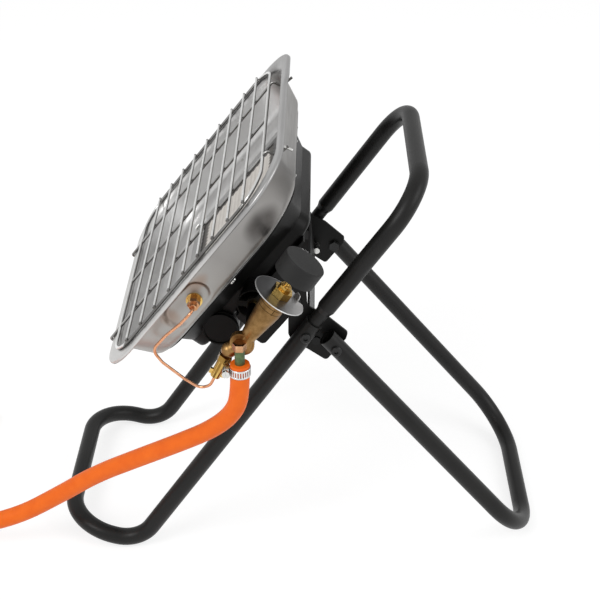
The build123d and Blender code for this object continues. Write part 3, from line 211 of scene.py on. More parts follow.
def noise(tree, scale, detail=3.0, stretch=(1.0, 1.0, 1.0)):
    """Noise in the object's own coordinates; scale is features per metre."""
    coords = tree.nodes.new("ShaderNodeTexCoord")
    mapping = tree.nodes.new("ShaderNodeMapping")
    mapping.inputs["Scale"].default_value = stretch
    texture = tree.nodes.new("ShaderNodeTexNoise")
    texture.inputs["Scale"].default_value = scale
    texture.inputs["Detail"].default_value = detail
    tree.links.new(coords.outputs["Object"], mapping.inputs["Vector"])
    tree.links.new(mapping.outputs["Vector"], texture.inputs["Vector"])
    return texture.outputs["Fac"]


def ramp(tree, factor, stops):
    """Colours along a factor; stops are (place, colour)."""
    node = tree.nodes.new("ShaderNodeValToRGB")
    elements = node.color_ramp.elements
    while len(elements) < len(stops):
        elements.new(0.5)
    for element, (place, colour) in zip(elements, stops):
        element.position = place
        element.color = (*colour, 1.0)
    tree.links.new(factor, node.inputs["Fac"])
    return node.outputs["Color"]


def spread(tree, factor, low, high, start=0.3, end=0.7):
    """A factor mapped to a range of numbers."""
    node = tree.nodes.new("ShaderNodeMapRange")
    node.inputs["From Min"].default_value = start
    node.inputs["From Max"].default_value = end
    node.inputs["To Min"].default_value = low
    node.inputs["To Max"].default_value = high
    tree.links.new(factor, node.inputs["Value"])
    return node.outputs["Result"]


def math_node(tree, operation, first, second):
    """One operation on two factors, each a number or a socket."""
    node = tree.nodes.new("ShaderNodeMath")
    node.operation = operation
    for socket, value in zip(node.inputs, (first, second)):
        if isinstance(value, (int, float)):
            socket.default_value = value
        else:
            tree.links.new(value, socket)
    return node.outputs["Value"]


def weighed(tree, first, share, second):
    """Two factors in one: the first by its share, the second by the rest."""
    return math_node(tree, "ADD", math_node(tree, "MULTIPLY", first, share),
                     math_node(tree, "MULTIPLY", second, 1.0 - share))


def mix_colour(tree, factor, first, second, blend="MIX"):
    """The first colour blended toward the second by a factor."""
    node = tree.nodes.new("ShaderNodeMix")
    node.data_type = "RGBA"
    node.blend_type = blend
    for socket, value in ((node.inputs[0], factor), (node.inputs[6], first), (node.inputs[7], second)):
        if isinstance(value, bpy.types.NodeSocket):
            tree.links.new(value, socket)
        elif isinstance(value, (int, float)):
            socket.default_value = value
        else:
            socket.default_value = (*value, 1.0)
    return node.outputs[2]


def bump(tree, shader, height, strength, distance):
    """Relief from a height; distance is in metres."""
    node = tree.nodes.new("ShaderNodeBump")
    node.inputs["Strength"].default_value = strength
    node.inputs["Distance"].default_value = distance
    tree.links.new(height, node.inputs["Height"])
    tree.links.new(node.outputs["Normal"], shader.inputs["Normal"])


def own_coordinates(tree, matrix):
    """X, Y and Z of a point in the millimetres of a place's own frame."""
    coords = tree.nodes.new("ShaderNodeTexCoord")
    values = []
    for row in matrix.inverted()[:3]:
        dot = tree.nodes.new("ShaderNodeVectorMath")
        dot.operation = "DOT_PRODUCT"
        dot.inputs[1].default_value = row[:3]
        tree.links.new(coords.outputs["Object"], dot.inputs[0])
        values.append(math_node(tree, "ADD", dot.outputs["Value"], row[3]))
    return values


def spot(tree, axes, centre, reach):
    """1 at a point of an own frame, falling smoothly to 0; reach is per axis in millimetres."""
    total = None
    for value, middle, size in zip(axes, centre, reach):
        share = math_node(tree, "MULTIPLY", math_node(tree, "SUBTRACT", value, middle), 1.0 / size)
        square = math_node(tree, "MULTIPLY", share, share)
        total = math_node(tree, "ADD", total, square) if total else square
    node = tree.nodes.new("ShaderNodeMapRange")
    node.interpolation_type = "SMOOTHSTEP"
    node.inputs["From Min"].default_value = 1.0
    node.inputs["From Max"].default_value = 0.0
    tree.links.new(total, node.inputs["Value"])
    return node.outputs["Result"]


def surface(name, dark, light, rough, metallic=0.0, patch=60.0, grain=900.0, relief=0.15, depth=0.0002,
            specular=0.5):
    """A finish with patches of tone, fine grain in its gloss and a fine relief."""
    material, tree, shader = new_material(name)
    fine = noise(tree, grain, 2.0)
    mixed = weighed(tree, noise(tree, patch), 0.7, fine)
    tree.links.new(ramp(tree, mixed, [(0.3, dark), (0.7, light)]), shader.inputs["Base Color"])
    tree.links.new(spread(tree, fine, *rough), shader.inputs["Roughness"])
    bump(tree, shader, fine, relief, depth)
    shader.inputs["Metallic"].default_value = metallic
    shader.inputs["Specular IOR Level"].default_value = specular
    return material


def painted(material):
    """A finish's node tree, its shader and the socket that feeds its base colour."""
    tree = material.node_tree
    shader = tree.nodes["Principled BSDF"]
    return tree, shader, shader.inputs["Base Color"].links[0].from_socket


# ---------------------------------------------------------------- materials
def powder_coat(name, level, specular):
    """Satin black powder coat: warm black, orange peel, dust in its gloss."""
    return surface(name, (0.008 * level, 0.0078 * level, 0.0074 * level),
                   (0.016 * level, 0.0155 * level, 0.0145 * level), (0.34, 0.48), patch=40.0, grain=1400.0,
                   relief=0.1, depth=0.0001, specular=specular)


def stain_and_shade(tree, base, colour, mask, share):
    """A soft dark mark laid over a base colour, broken up by noise; used for stains and for painted shade and
    dark reflections.
    """
    cloud = spread(tree, noise(tree, 45.0), 0.7, 1.0)
    strength = math_node(tree, "MULTIPLY", math_node(tree, "MULTIPLY", mask, cloud), share)
    return mix_colour(tree, strength, base, colour)


def brushed_steel(name, low, high, lines=60.0):
    """Brushed stainless: cloudy tone, brush lines along X in its gloss and relief."""
    material, tree, shader = new_material(name)
    brushed = noise(tree, 30.0, 4.0, (1.0, lines, lines))
    tone = weighed(tree, noise(tree, 14.0), 0.75, brushed)
    base = ramp(tree, tone, [(0.35, low), (0.65, high)])
    tree.links.new(spread(tree, brushed, 0.3, 0.46), shader.inputs["Roughness"])
    bump(tree, shader, brushed, 0.06, 0.0001)
    shader.inputs["Metallic"].default_value = 1.0
    return material, tree, shader, base


def dish_inside():
    """The dish's mouth and rim: browned round the burner, painted shade in a far corner, and painted light
    and shade on the rim, darkest toward its top.
    """
    material, tree, shader, base = brushed_steel("stainless_dish", (0.56, 0.555, 0.55), (0.67, 0.665, 0.66))
    x, u, n = own_coordinates(tree, HEAD)
    glare = spot(tree, (x, u, n), (0.0, 8.0, DISH_FLOOR), (105.0, 92.0, 16.0))
    base = stain_and_shade(tree, base, (0.30, 0.26, 0.22), glare, 0.6)
    # Painted shade: a dark patch in the dish's far corner.
    far_corner_shade = spot(tree, (x, u, n), (-112.0, 92.0, -12.0), (20.0, 20.0, 22.0))
    base = stain_and_shade(tree, base, (0.12, 0.11, 0.10), far_corner_shade, 0.8)
    rim = spread(tree, n, 0.0, 1.0, *RIM_LEVELS)
    # Painted light and shade on the rim: a little lighter low down, darkest toward its top.
    along = ramp(tree, spread(tree, u, 0.0, 1.0, -120.0, 70.0),
                 [(0.0, (0.96, 0.96, 0.95)), (0.55, (1.02, 1.02, 1.01)), (1.0, (0.62, 0.62, 0.62))])
    base = mix_colour(tree, rim, base, mix_colour(tree, 1.0, base, along, "MULTIPLY"))
    tree.links.new(base, shader.inputs["Base Color"])
    return material


def dish_outside():
    """The dish's back: painted reflections, bright low on its side walls and darker above, a painted dark
    reflection high on each side wall, and painted brown shade at both ends of the sensor recess.
    """
    material, tree, shader, base = brushed_steel("dish_outside", (0.38, 0.375, 0.365), (0.50, 0.49, 0.48))
    x, u, n = own_coordinates(tree, HEAD)
    side = math_node(tree, "ABSOLUTE", x, 0.0)
    # Painted reflections up the wall: bright low down, darker above.
    stops = [(0.0, (0.98, 0.97, 0.95)), (0.44, (0.92, 0.91, 0.89)), (0.60, (0.68, 0.67, 0.66)),
             (0.78, (0.80, 0.79, 0.78)), (0.9, (0.46, 0.45, 0.44)), (1.0, (0.72, 0.72, 0.72))]
    shade = ramp(tree, spread(tree, u, 0.0, 1.0, -125.0, 125.0), stops)
    base = mix_colour(tree, 1.0, base, shade, "MULTIPLY")
    # Painted dark reflection high on each side wall.
    dark_reflection = spot(tree, (side, u, n), (125.0, 68.0, -22.0), (30.0, 21.0, 15.0))
    base = stain_and_shade(tree, base, (0.05, 0.043, 0.04), dark_reflection, 0.95)
    # Painted brown shade at both ends of the sensor recess.
    above_sensor = ((124.0, -6.0, -12.0), (20.0, 16.0, 8.0))
    below_sensor = ((124.0, -46.0, -14.0), (20.0, 9.0, 12.0))
    for middle, reach in (above_sensor, below_sensor):
        recess_end_shade = spot(tree, (side, u, n), middle, reach)
        base = stain_and_shade(tree, base, (0.30, 0.19, 0.13), recess_end_shade, 0.6)
    tree.links.new(base, shader.inputs["Base Color"])
    return material


def inside_edge(tree, value, middle, half):
    """How far a value lies inside the edges of a span, in millimetres."""
    away = math_node(tree, "ABSOLUTE", math_node(tree, "SUBTRACT", value, middle), 0.0)
    return math_node(tree, "SUBTRACT", half, away)


def window_tooth_shadow(tree):
    """1 on a painted shadow band with teeth along the window's four edges."""
    x, u, _ = own_coordinates(tree, HEAD)
    shadow_mask = None
    for across, along, middle, half in ((x, u, 0.0, WINDOW_HALF_W), (u, x, WINDOW_U, WINDOW_HALF_H)):
        inward = inside_edge(tree, across, middle, half)
        tooth = math_node(tree, "PINGPONG", math_node(tree, "ADD", along, TOOTH_START), TOOTH_PITCH / 2)
        depth = math_node(tree, "MULTIPLY", tooth, TOOTH_SHADOW / (TOOTH_PITCH / 2))
        reached = math_node(tree, "SUBTRACT", depth, inward)
        edge = spread(tree, reached, 0.0, 1.0, -SHADOW_BAND - SHADOW_SOFT, -SHADOW_BAND + SHADOW_SOFT)
        shadow_mask = math_node(tree, "MAXIMUM", shadow_mask, edge) if shadow_mask else edge
    return shadow_mask


def ceramic():
    """Pale honeycomb ceramic with rows of small flame holes and a painted toothed shadow along its edge."""
    material, tree, shader = new_material("ceramic")
    coords = tree.nodes.new("ShaderNodeTexCoord")
    turn = tree.nodes.new("ShaderNodeMapping")
    turn.inputs["Rotation"].default_value = (math.pi / 2 - HEAD_TILT, 0.0, 0.0)
    cells = tree.nodes.new("ShaderNodeTexVoronoi")
    cells.inputs["Scale"].default_value = 640.0
    cells.inputs["Randomness"].default_value = 0.0
    tree.links.new(coords.outputs["Object"], turn.inputs["Vector"])
    tree.links.new(turn.outputs["Vector"], cells.inputs["Vector"])
    hole = spread(tree, cells.outputs["Distance"], 0.0, 1.0, 0.28, 0.4)
    tone = ramp(tree, noise(tree, 90.0), [(0.3, (0.78, 0.74, 0.69)), (0.7, (0.86, 0.82, 0.77))])
    base = mix_colour(tree, hole, (0.62, 0.57, 0.52), tone)
    # Painted shadow with teeth along the window's edges.
    base = mix_colour(tree, math_node(tree, "MULTIPLY", window_tooth_shadow(tree), 0.92), base, (0.08, 0.075, 0.07))
    tree.links.new(base, shader.inputs["Base Color"])
    shader.inputs["Roughness"].default_value = 0.85
    bump(tree, shader, hole, 0.5, 0.0005)
    return material


def retainer():
    """The plaque retainer: satin sheet, with a painted shadow along the serrated edge of its window."""
    material, tree, shader, base = brushed_steel("plaque_retainer", (0.42, 0.418, 0.415), (0.53, 0.527, 0.52),
                                                 lines=40.0)
    x, u, _ = own_coordinates(tree, HEAD)
    inward = math_node(tree, "MINIMUM", inside_edge(tree, x, 0.0, WINDOW_HALF_W),
                       inside_edge(tree, u, WINDOW_U, WINDOW_HALF_H))
    # Painted shadow: a dark band along the window's edge.
    edge = spread(tree, inward, 0.0, 1.0, -WINDOW_EDGE - 0.8, -WINDOW_EDGE + 0.8)
    base = stain_and_shade(tree, base, (0.05, 0.047, 0.045), edge, 0.95)
    tree.links.new(base, shader.inputs["Base Color"])
    return material


def guard_wire():
    """Bright wire, with painted shade on the ends of the cross wires, on the long wires and on faces that
    look down.
    """
    material = surface("guard_wire", (0.66, 0.66, 0.65), (0.84, 0.84, 0.83), (0.16, 0.28), metallic=1.0)
    tree, shader, base = painted(material)
    x, _, n = own_coordinates(tree, HEAD)
    side = math_node(tree, "ABSOLUTE", x, 0.0)
    # Painted shade on the ends of the cross wires.
    tip_shade = spread(tree, side, 0.0, 1.0, TIP_SHADE_X - 0.5, TIP_SHADE_X + 0.5)
    base = stain_and_shade(tree, base, (0.06, 0.055, 0.05), tip_shade, 0.9)
    # Painted shade on the long wires, which lie below the cross wires.
    long_wire_shade = math_node(tree, "MULTIPLY", spread(tree, side, 1.0, 0.0, LONG_WIRES_X, LONG_WIRES_X + 2.0),
                           spread(tree, n, 1.0, 0.0, WIRE_LEVEL - 0.4, WIRE_LEVEL + 0.2))
    base = stain_and_shade(tree, base, (0.17, 0.16, 0.15), long_wire_shade, 0.85)
    # Painted shade on faces that look down into the dish.
    facing = tree.nodes.new("ShaderNodeVectorMath")
    facing.operation = "DOT_PRODUCT"
    facing.inputs[1].default_value = HEAD.col[2][:3]
    coords = tree.nodes.new("ShaderNodeTexCoord")
    tree.links.new(coords.outputs["Normal"], facing.inputs[0])
    underside_shade = spread(tree, facing.outputs["Value"], 1.0, 0.0, 0.05 * MM, 0.45 * MM)
    base = stain_and_shade(tree, base, (0.10, 0.095, 0.09), underside_shade, 0.9)
    tree.links.new(base, shader.inputs["Base Color"])
    return material


def stop_bolt():
    """Bright zinc on the far stop bolt; the one at the valve's side is painted near black as shade."""
    material = surface("stop_bolt", (0.55, 0.55, 0.53), (0.72, 0.72, 0.7), (0.2, 0.36), metallic=1.0)
    tree, shader, base = painted(material)
    x, _, _ = own_coordinates(tree, STAND)
    # Painted shade: the bolt at the valve's side is made near black.
    valve_side_shade = spread(tree, x, 0.0, 1.0, -1.0, 1.0)
    tree.links.new(mix_colour(tree, valve_side_shade, base, (0.02, 0.02, 0.02)), shader.inputs["Base Color"])
    return material


def painted_reflections(material, scale, dark):
    """Painted reflections on a polished metal: dark bands set by which way each face looks."""
    tree, shader, base = painted(material)
    coords = tree.nodes.new("ShaderNodeTexCoord")
    bands = tree.nodes.new("ShaderNodeTexNoise")
    bands.inputs["Scale"].default_value = scale
    bands.inputs["Detail"].default_value = 1.0
    tree.links.new(coords.outputs["Normal"], bands.inputs["Vector"])
    shade = spread(tree, bands.outputs["Fac"], 0.0, 1.0, 0.46, 0.56)
    base = mix_colour(tree, shade, base, mix_colour(tree, 1.0, base, dark, "MULTIPLY"))
    tree.links.new(base, shader.inputs["Base Color"])
    return material


def near(tree, value, middle, reach):
    """1 where a value is within reach of a middle."""
    node = tree.nodes.new("ShaderNodeMath")
    node.operation = "COMPARE"
    tree.links.new(value, node.inputs[0])
    node.inputs[1].default_value = middle
    node.inputs[2].default_value = reach
    return node.outputs["Value"]


def cast_brass():
    """The valve body's cast brass: brown patches, darker toward the knob, scribed lines, a black outlet."""
    material = surface("brass_cast", (0.19, 0.103, 0.034), (0.42, 0.25, 0.1), (0.28, 0.46), metallic=1.0,
                       patch=160.0, grain=1600.0, relief=0.2)
    tree, shader, base = painted(material)
    x, y, s = own_coordinates(tree, VALVE)
    low, high = SCRIBE
    rings = math_node(tree, "MAXIMUM", near(tree, s, low, 0.3), near(tree, s, high, 0.3))
    line = math_node(tree, "MULTIPLY", near(tree, y, 1.5, 0.35), spread(tree, x, 0.0, 1.0, 0.0, 1.0))
    tick = math_node(tree, "MULTIPLY", near(tree, s, (low + high) / 2, (high - low) * 0.75), line)
    marks = math_node(tree, "MAXIMUM", rings, tick)
    base = mix_colour(tree, math_node(tree, "MULTIPLY", marks, 0.8), base, (0.05, 0.03, 0.012))
    base = mix_colour(tree, spread(tree, s, 0.0, 1.0, 4.0, 36.0), base, (0.72, 0.72, 0.74), "MULTIPLY")
    outlet = spread(tree, x, 1.0, 0.0, SPIGOT_X - 0.5, SPIGOT_X + 0.5)
    base = mix_colour(tree, outlet, base, (0.012, 0.012, 0.012))
    tree.links.new(base, shader.inputs["Base Color"])
    return material


def spun_sheet():
    """The flame shield's grey satin sheet: fine rings round its middle, painted shade darker toward the dish,
    and a painted highlight along its edge.
    """
    material, tree, shader = new_material("spun_sheet")
    x, y, _ = own_coordinates(tree, VALVE)
    square = math_node(tree, "ADD", math_node(tree, "MULTIPLY", x, x), math_node(tree, "MULTIPLY", y, y))
    radius = math_node(tree, "SQRT", square, 0.0)
    lines = tree.nodes.new("ShaderNodeTexNoise")
    lines.noise_dimensions = "1D"
    lines.inputs["Scale"].default_value = 3.2
    lines.inputs["Detail"].default_value = 4.0
    tree.links.new(radius, lines.inputs["W"])
    rings = lines.outputs["Fac"]
    tone = weighed(tree, rings, 0.4, noise(tree, 70.0))
    base = ramp(tree, tone, [(0.35, (0.24, 0.24, 0.245)), (0.65, (0.36, 0.36, 0.365))])
    # Painted shade: darker toward the dish.
    shade = ramp(tree, spread(tree, y, 0.0, 1.0, -SHIELD_R, SHIELD_R),
                 [(0.0, (0.26, 0.26, 0.26)), (0.45, (0.6, 0.6, 0.6)), (0.9, (1.7, 1.67, 1.63))])
    base = mix_colour(tree, 1.0, base, shade, "MULTIPLY")
    # Painted highlight along the disc's edge.
    edge = spread(tree, radius, 0.0, 1.0, SHIELD_R - 0.9, SHIELD_R - 0.3)
    base = mix_colour(tree, edge, base, (0.62, 0.62, 0.62))
    tree.links.new(base, shader.inputs["Base Color"])
    tree.links.new(spread(tree, rings, 0.34, 0.5), shader.inputs["Roughness"])
    bump(tree, shader, rings, 0.08, 0.0001)
    shader.inputs["Metallic"].default_value = 1.0
    return material


MATERIALS = {
    "black_tube": powder_coat("black_tube", 0.7, 0.26),
    "black_sheet": powder_coat("black_sheet", 0.55, 0.16),
    # A darker copy of the powder coat: painted shade for parts that sit in shade.
    "black_in_shade": powder_coat("black_in_shade", 0.45, 0.12),
    "black_bolt": surface("black_bolt", (0.012, 0.012, 0.012), (0.03, 0.03, 0.03), (0.25, 0.4), metallic=0.3,
                          specular=0.35),
    "zinc": surface("zinc", (0.55, 0.55, 0.53), (0.72, 0.72, 0.7), (0.16, 0.3), metallic=1.0),
    "stainless_dish": dish_inside(),
    "dish_outside": dish_outside(),
    "guard_wire": guard_wire(),
    "stainless_sheet": surface("stainless_sheet", (0.38, 0.38, 0.37), (0.5, 0.5, 0.49), (0.25, 0.4),
                               metallic=1.0),
    "spun_sheet": spun_sheet(),
    "bright_band": surface("bright_band", (0.62, 0.62, 0.61), (0.78, 0.78, 0.77), (0.14, 0.28), metallic=1.0),
    "plaque_retainer": retainer(),
    "ceramic": ceramic(),
    "ceramic_fibre": surface("ceramic_fibre", (0.6, 0.58, 0.54), (0.8, 0.78, 0.74), (0.85, 0.95), relief=0.6),
    "brass": painted_reflections(surface("brass", (0.50, 0.31, 0.07), (0.88, 0.62, 0.22), (0.14, 0.28), metallic=1.0,
                           patch=150.0, relief=0.04), 2.6, (0.3, 0.25, 0.18)),
    "brass_cast": cast_brass(),
    "yellow_cast": painted_reflections(surface("yellow_cast", (0.42, 0.25, 0.06), (0.74, 0.49, 0.16), (0.2, 0.38),
                                 metallic=1.0, patch=160.0, grain=1600.0, relief=0.1),
                         2.6, (0.5, 0.45, 0.38)),
    "copper": painted_reflections(surface("copper", (0.42, 0.21, 0.1), (0.74, 0.44, 0.25), (0.12, 0.26), metallic=1.0,
                            patch=150.0, relief=0.04), 2.2, (0.42, 0.35, 0.3)),
    "copper_pipe": surface("copper_pipe", (0.58, 0.24, 0.11), (0.86, 0.46, 0.28), (0.16, 0.3), metallic=1.0,
                           patch=160.0, relief=0.05),
    "green_tail": surface("green_tail", (0.035, 0.07, 0.025), (0.13, 0.19, 0.075), (0.3, 0.5), metallic=0.4,
                          patch=220.0),
    "probe_steel": surface("probe_steel", (0.4, 0.4, 0.4), (0.55, 0.55, 0.55), (0.25, 0.4), metallic=1.0),
    "black_knob": surface("black_knob", (0.009, 0.009, 0.009), (0.017, 0.0168, 0.0165), (0.44, 0.6),
                          grain=2500.0, relief=0.2, specular=0.28),
    "orange_hose": surface("orange_hose", (0.90, 0.142, 0.008), (0.99, 0.18, 0.011), (0.42, 0.55), patch=90.0,
                           grain=1500.0, relief=0.12, specular=0.25),
    "stop_bolt": stop_bolt(),
}
NODE_FINISH = {
    "valve_body": "brass_cast",
    "valve_bonnet": "yellow_cast",
    "safety_magnet": "yellow_cast",
    "plaque_retainer": "plaque_retainer",
    "capillary_tube": "copper_pipe",
    "sensor_washer": "brass",
    "stop_bolts": "stop_bolt",
    # These three get the darker powder coat as painted shade.
    "air_horn": "black_in_shade",
    "mixing_tube": "black_in_shade",
    "mixer_end_cap": "black_in_shade",
}


def dress_cad_nodes():
    """Give every CAD node its own finish, or that of its record slot."""
    slots = {part["node"]: part["material_slot"] for part in frame["record"]["subparts"]}
    for name, obj in NODES.items():
        key = NODE_FINISH.get(name, slots[name])
        for material_slot in obj.material_slots:
            material_slot.material = MATERIALS[key]


# ---------------------------------------------------------------- mesh helpers
def mesh_object(name, vertices, faces, material, body, matrix=None):
    """A new piece from vertices in millimetres of its own frame."""
    mesh = bpy.data.meshes.new(name)
    mesh.from_pydata([matrix @ Vector(v) if matrix else to_row(v) for v in vertices], [], faces)
    mesh.materials.append(MATERIALS[material])
    work = bmesh.new()
    work.from_mesh(mesh)
    bmesh.ops.recalc_face_normals(work, faces=work.faces)
    work.to_mesh(mesh)
    work.free()
    for polygon in mesh.polygons:
        polygon.use_smooth = True
    obj = bpy.data.objects.new(name, mesh)
    bpy.context.scene.collection.objects.link(obj)
    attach(obj, body)
    return obj


def sharpen(obj, degrees):
    """Keep edges crisp where two faces meet at more than an angle."""
    work = bmesh.new()
    work.from_mesh(obj.data)
    for edge in work.edges:
        if len(edge.link_faces) == 2 and edge.calc_face_angle() > math.radians(degrees):
            edge.smooth = False
    work.to_mesh(obj.data)
    work.free()


def stitch_rings(rings, closed=True):
    """Faces between rings of equal length; closed joins the last ring to the first."""
    vertices = [point for ring in rings for point in ring]
    count = len(rings[0])
    faces = []
    for i in range(len(rings) if closed else len(rings) - 1):
        here = i * count
        there = ((i + 1) % len(rings)) * count
        for j in range(count):
            k = (j + 1) % count
            faces.append((here + j, here + k, there + k, there + j))
    return vertices, faces


def capped_rings(rings):
    """Faces between rings in a row, with its first and last ring closed."""
    vertices, faces = stitch_rings(rings, closed=False)
    count = len(rings[0])
    ends = [tuple(range(count)), tuple(range(len(vertices) - count, len(vertices)))]
    return vertices, faces + ends


# ---------------------------------------------------------------- dish
SIDE_STEPS = 80
TOP_STEPS = 40
CORNER_STEPS = 20

# rings of its bends: how far in or out, and the level or the rise above the floor
FLOOR_BEND = [(6.0, 0.0), (3.4, 0.35), (1.6, 1.3), (0.5, 3.0)]
WALL_LIFT = 5.0
WALL_TOP = -3.2
WALL_STEPS = 22
MOUTH_BEND = [(0.5, -1.6), (1.4, -0.55), (2.8, 0.0)]
RIM_EDGE = [(-2.6, 0.0), (-1.1, -0.15), (-0.35, -0.6), (0.0, -1.4), (0.0, -3.0), (-1.0, -3.0), (-1.0, -1.7),
            (-1.8, -1.0)]
MOUTH_BACK = [(3.0, -1.0), (1.7, -1.9)]
FLOOR_BACK = [(0.0, 2.4), (0.9, 0.6), (2.6, -0.6), (5.6, -1.0)]


def rounded_ring(width, top, low, radius, n):
    """A rounded rectangle of the head, anticlockwise from the foot of its +X side."""
    half = width / 2
    corners = [(half - radius, low + radius, -90), (half - radius, top - radius, 0),
               (-half + radius, top - radius, 90), (-half + radius, low + radius, 180)]
    steps = (SIDE_STEPS, TOP_STEPS, SIDE_STEPS, TOP_STEPS)
    ring = []
    for i, (x, u, start) in enumerate(corners):
        for j in range(CORNER_STEPS):
            angle = math.radians(start + 90 * j / CORNER_STEPS)
            ring.append((x + radius * math.cos(angle), u + radius * math.sin(angle), n))
        end = math.radians(start + 90)
        x_next, u_next, _ = corners[(i + 1) % 4]
        first = Vector((x + radius * math.cos(end), u + radius * math.sin(end), n))
        last = Vector((x_next + radius * math.cos(end), u_next + radius * math.sin(end), n))
        for j in range(steps[i]):
            ring.append(tuple(first.lerp(last, j / steps[i])))
    return ring


def grown(outline, size):
    """An outline moved outward by a size."""
    width, top, low, radius = outline
    return (width + 2 * size, top + size, low - size, radius + size)


def wall_outline(n):
    """The dish wall's inner outline at a depth."""
    share = n / DISH_FLOOR
    return tuple(a + (b - a) * share for a, b in zip(MOUTH, DISH_BACK))


def smooth_step(value):
    """0 to 1 along a value from 0 to 1, level at both ends."""
    share = min(max(value, 0.0), 1.0)
    return share * share * (3 - 2 * share)


def pocket(point, seat):
    """Press the sensor's obround recess into the +X wall."""
    x, u, n = point
    if x < POCKET_FROM_X:
        return point
    along_u = max(abs(u - POCKET_U) - POCKET_HALF, 0.0)
    distance = math.hypot(along_u, n - POCKET_N) - POCKET_R
    share = smooth_step((POCKET_EDGE / 2 - distance) / POCKET_EDGE)
    return (x + min(seat - x, 0.0) * share, u, n)


def top_drop(ring):
    """Draw a rim ring in along its top, all but its far corner."""
    drawn = []
    for x, u, n in ring:
        high = smooth_step((u - TOP_DROP_U) / TOP_DROP_REACH_U)
        along = smooth_step((x - TOP_DROP_X) / TOP_DROP_REACH_X)
        drawn.append((x, u - TOP_DROP * high * along, n))
    return drawn


def dish():
    """The pressed stainless dish: rolled rim, drafted wall, rounded floor and sensor recess."""
    inner = [rounded_ring(*DISH_WINDOW, DISH_FLOOR)]
    for inset, rise in FLOOR_BEND:
        inner.append(rounded_ring(*grown(wall_outline(DISH_FLOOR + rise), -inset), DISH_FLOOR + rise))
    wall_low = DISH_FLOOR + WALL_LIFT
    depths = [wall_low + i * (WALL_TOP - wall_low) / WALL_STEPS for i in range(WALL_STEPS + 1)]
    for n in depths:
        inner.append([pocket(p, POCKET_SEAT - SHEET) for p in rounded_ring(*wall_outline(n), n)])
    for outset, n in MOUTH_BEND:
        inner.append(rounded_ring(*grown(MOUTH, outset), n))
    rim = [top_drop(rounded_ring(*grown(RIM, size), n)) for size, n in RIM_EDGE]
    outer = [rounded_ring(*grown(MOUTH, outset), n) for outset, n in MOUTH_BACK]
    for n in reversed(depths):
        outer.append([pocket(p, POCKET_SEAT) for p in rounded_ring(*grown(wall_outline(n), SHEET), n)])
    for inset, rise in FLOOR_BACK:
        outline = grown(wall_outline(max(DISH_FLOOR, DISH_FLOOR + rise)), SHEET - inset)
        outer.append(rounded_ring(*outline, DISH_FLOOR + rise))
    outer.append(rounded_ring(*DISH_WINDOW, DISH_FLOOR - SHEET))
    vertices, faces = stitch_rings(inner + rim + outer)
    obj = mesh_object("pressed_dish", vertices, faces, "stainless_dish", "heater", HEAD)
    obj.data.materials.append(MATERIALS["dish_outside"])
    first_outside = (len(inner) + len(rim)) * len(outer[0])
    for polygon in obj.data.polygons:
        if polygon.index >= first_outside:
            polygon.material_index = 1
    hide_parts("dish_reflector")


# ---------------------------------------------------------------- flame shield
SHIELD_STEPS = 240


def shield_radius(angle):
    """The disc's edge: round, with a notch where its tab is cut and bent up."""
    away = abs((angle - TAB_ANGLE + 180.0) % 360.0 - 180.0)
    return TAB_R + (SHIELD_R - TAB_R) * smooth_step((away - TAB_HALF) / TAB_NOTCH)


def shield_rings():
    """Rings of the thin disc from its hole, over its top and edge, back under it."""
    across = (0.0, 0.35, 0.7, 0.9, 0.98)
    profile = [(share, SHIELD_T) for share in across] + [(1.0, SHIELD_T * 0.7), (1.0, SHIELD_T * 0.3)]
    profile += [(share, 0.0) for share in reversed(across)]
    rings = []
    for share, height in profile:
        ring = []
        for i in range(SHIELD_STEPS):
            degrees = 360.0 * i / SHIELD_STEPS
            radius = SHIELD_HOLE_R + (shield_radius(degrees) - SHIELD_HOLE_R) * share
            angle = math.radians(degrees)
            ring.append((radius * math.cos(angle), radius * math.sin(angle), SHIELD_AT + height))
        rings.append(ring)
    return rings


def shield_tab():
    """Rings of the bent-up tab, from one of its edges to the other, with rounded top corners."""
    foot = SHIELD_AT + SHIELD_T * 0.5
    inner = TAB_R - SHIELD_T
    bevel = 0.2
    rings = []
    for i in range(TAB_STEPS + 1):
        share = 2.0 * i / TAB_STEPS - 1.0
        angle = math.radians(TAB_ANGLE + TAB_HALF * share)
        corner = max(abs(share) - TAB_CORNER, 0.0)
        top = SHIELD_AT + SHIELD_T + TAB_H * (1.0 - TAB_CORNER_DROP * corner ** 2)
        path = [(inner, foot), (inner, top - bevel), (inner + bevel, top), (TAB_R - bevel, top),
                (TAB_R, top - bevel), (TAB_R, foot)]
        rings.append([(r * math.cos(angle), r * math.sin(angle), z) for r, z in path])
    return rings


def flame_shield():
    """The thin shield disc with its bent-up tab, one sheet."""
    vertices, faces = stitch_rings(shield_rings())
    tab_vertices, tab_faces = capped_rings(shield_tab())
    start = len(vertices)
    faces += [tuple(start + i for i in face) for face in tab_faces]
    obj = mesh_object("shield_disc", vertices + tab_vertices, faces, "spun_sheet", "heater",
                      VALVE)
    sharpen(obj, 35.0)
    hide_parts("flame_shield")


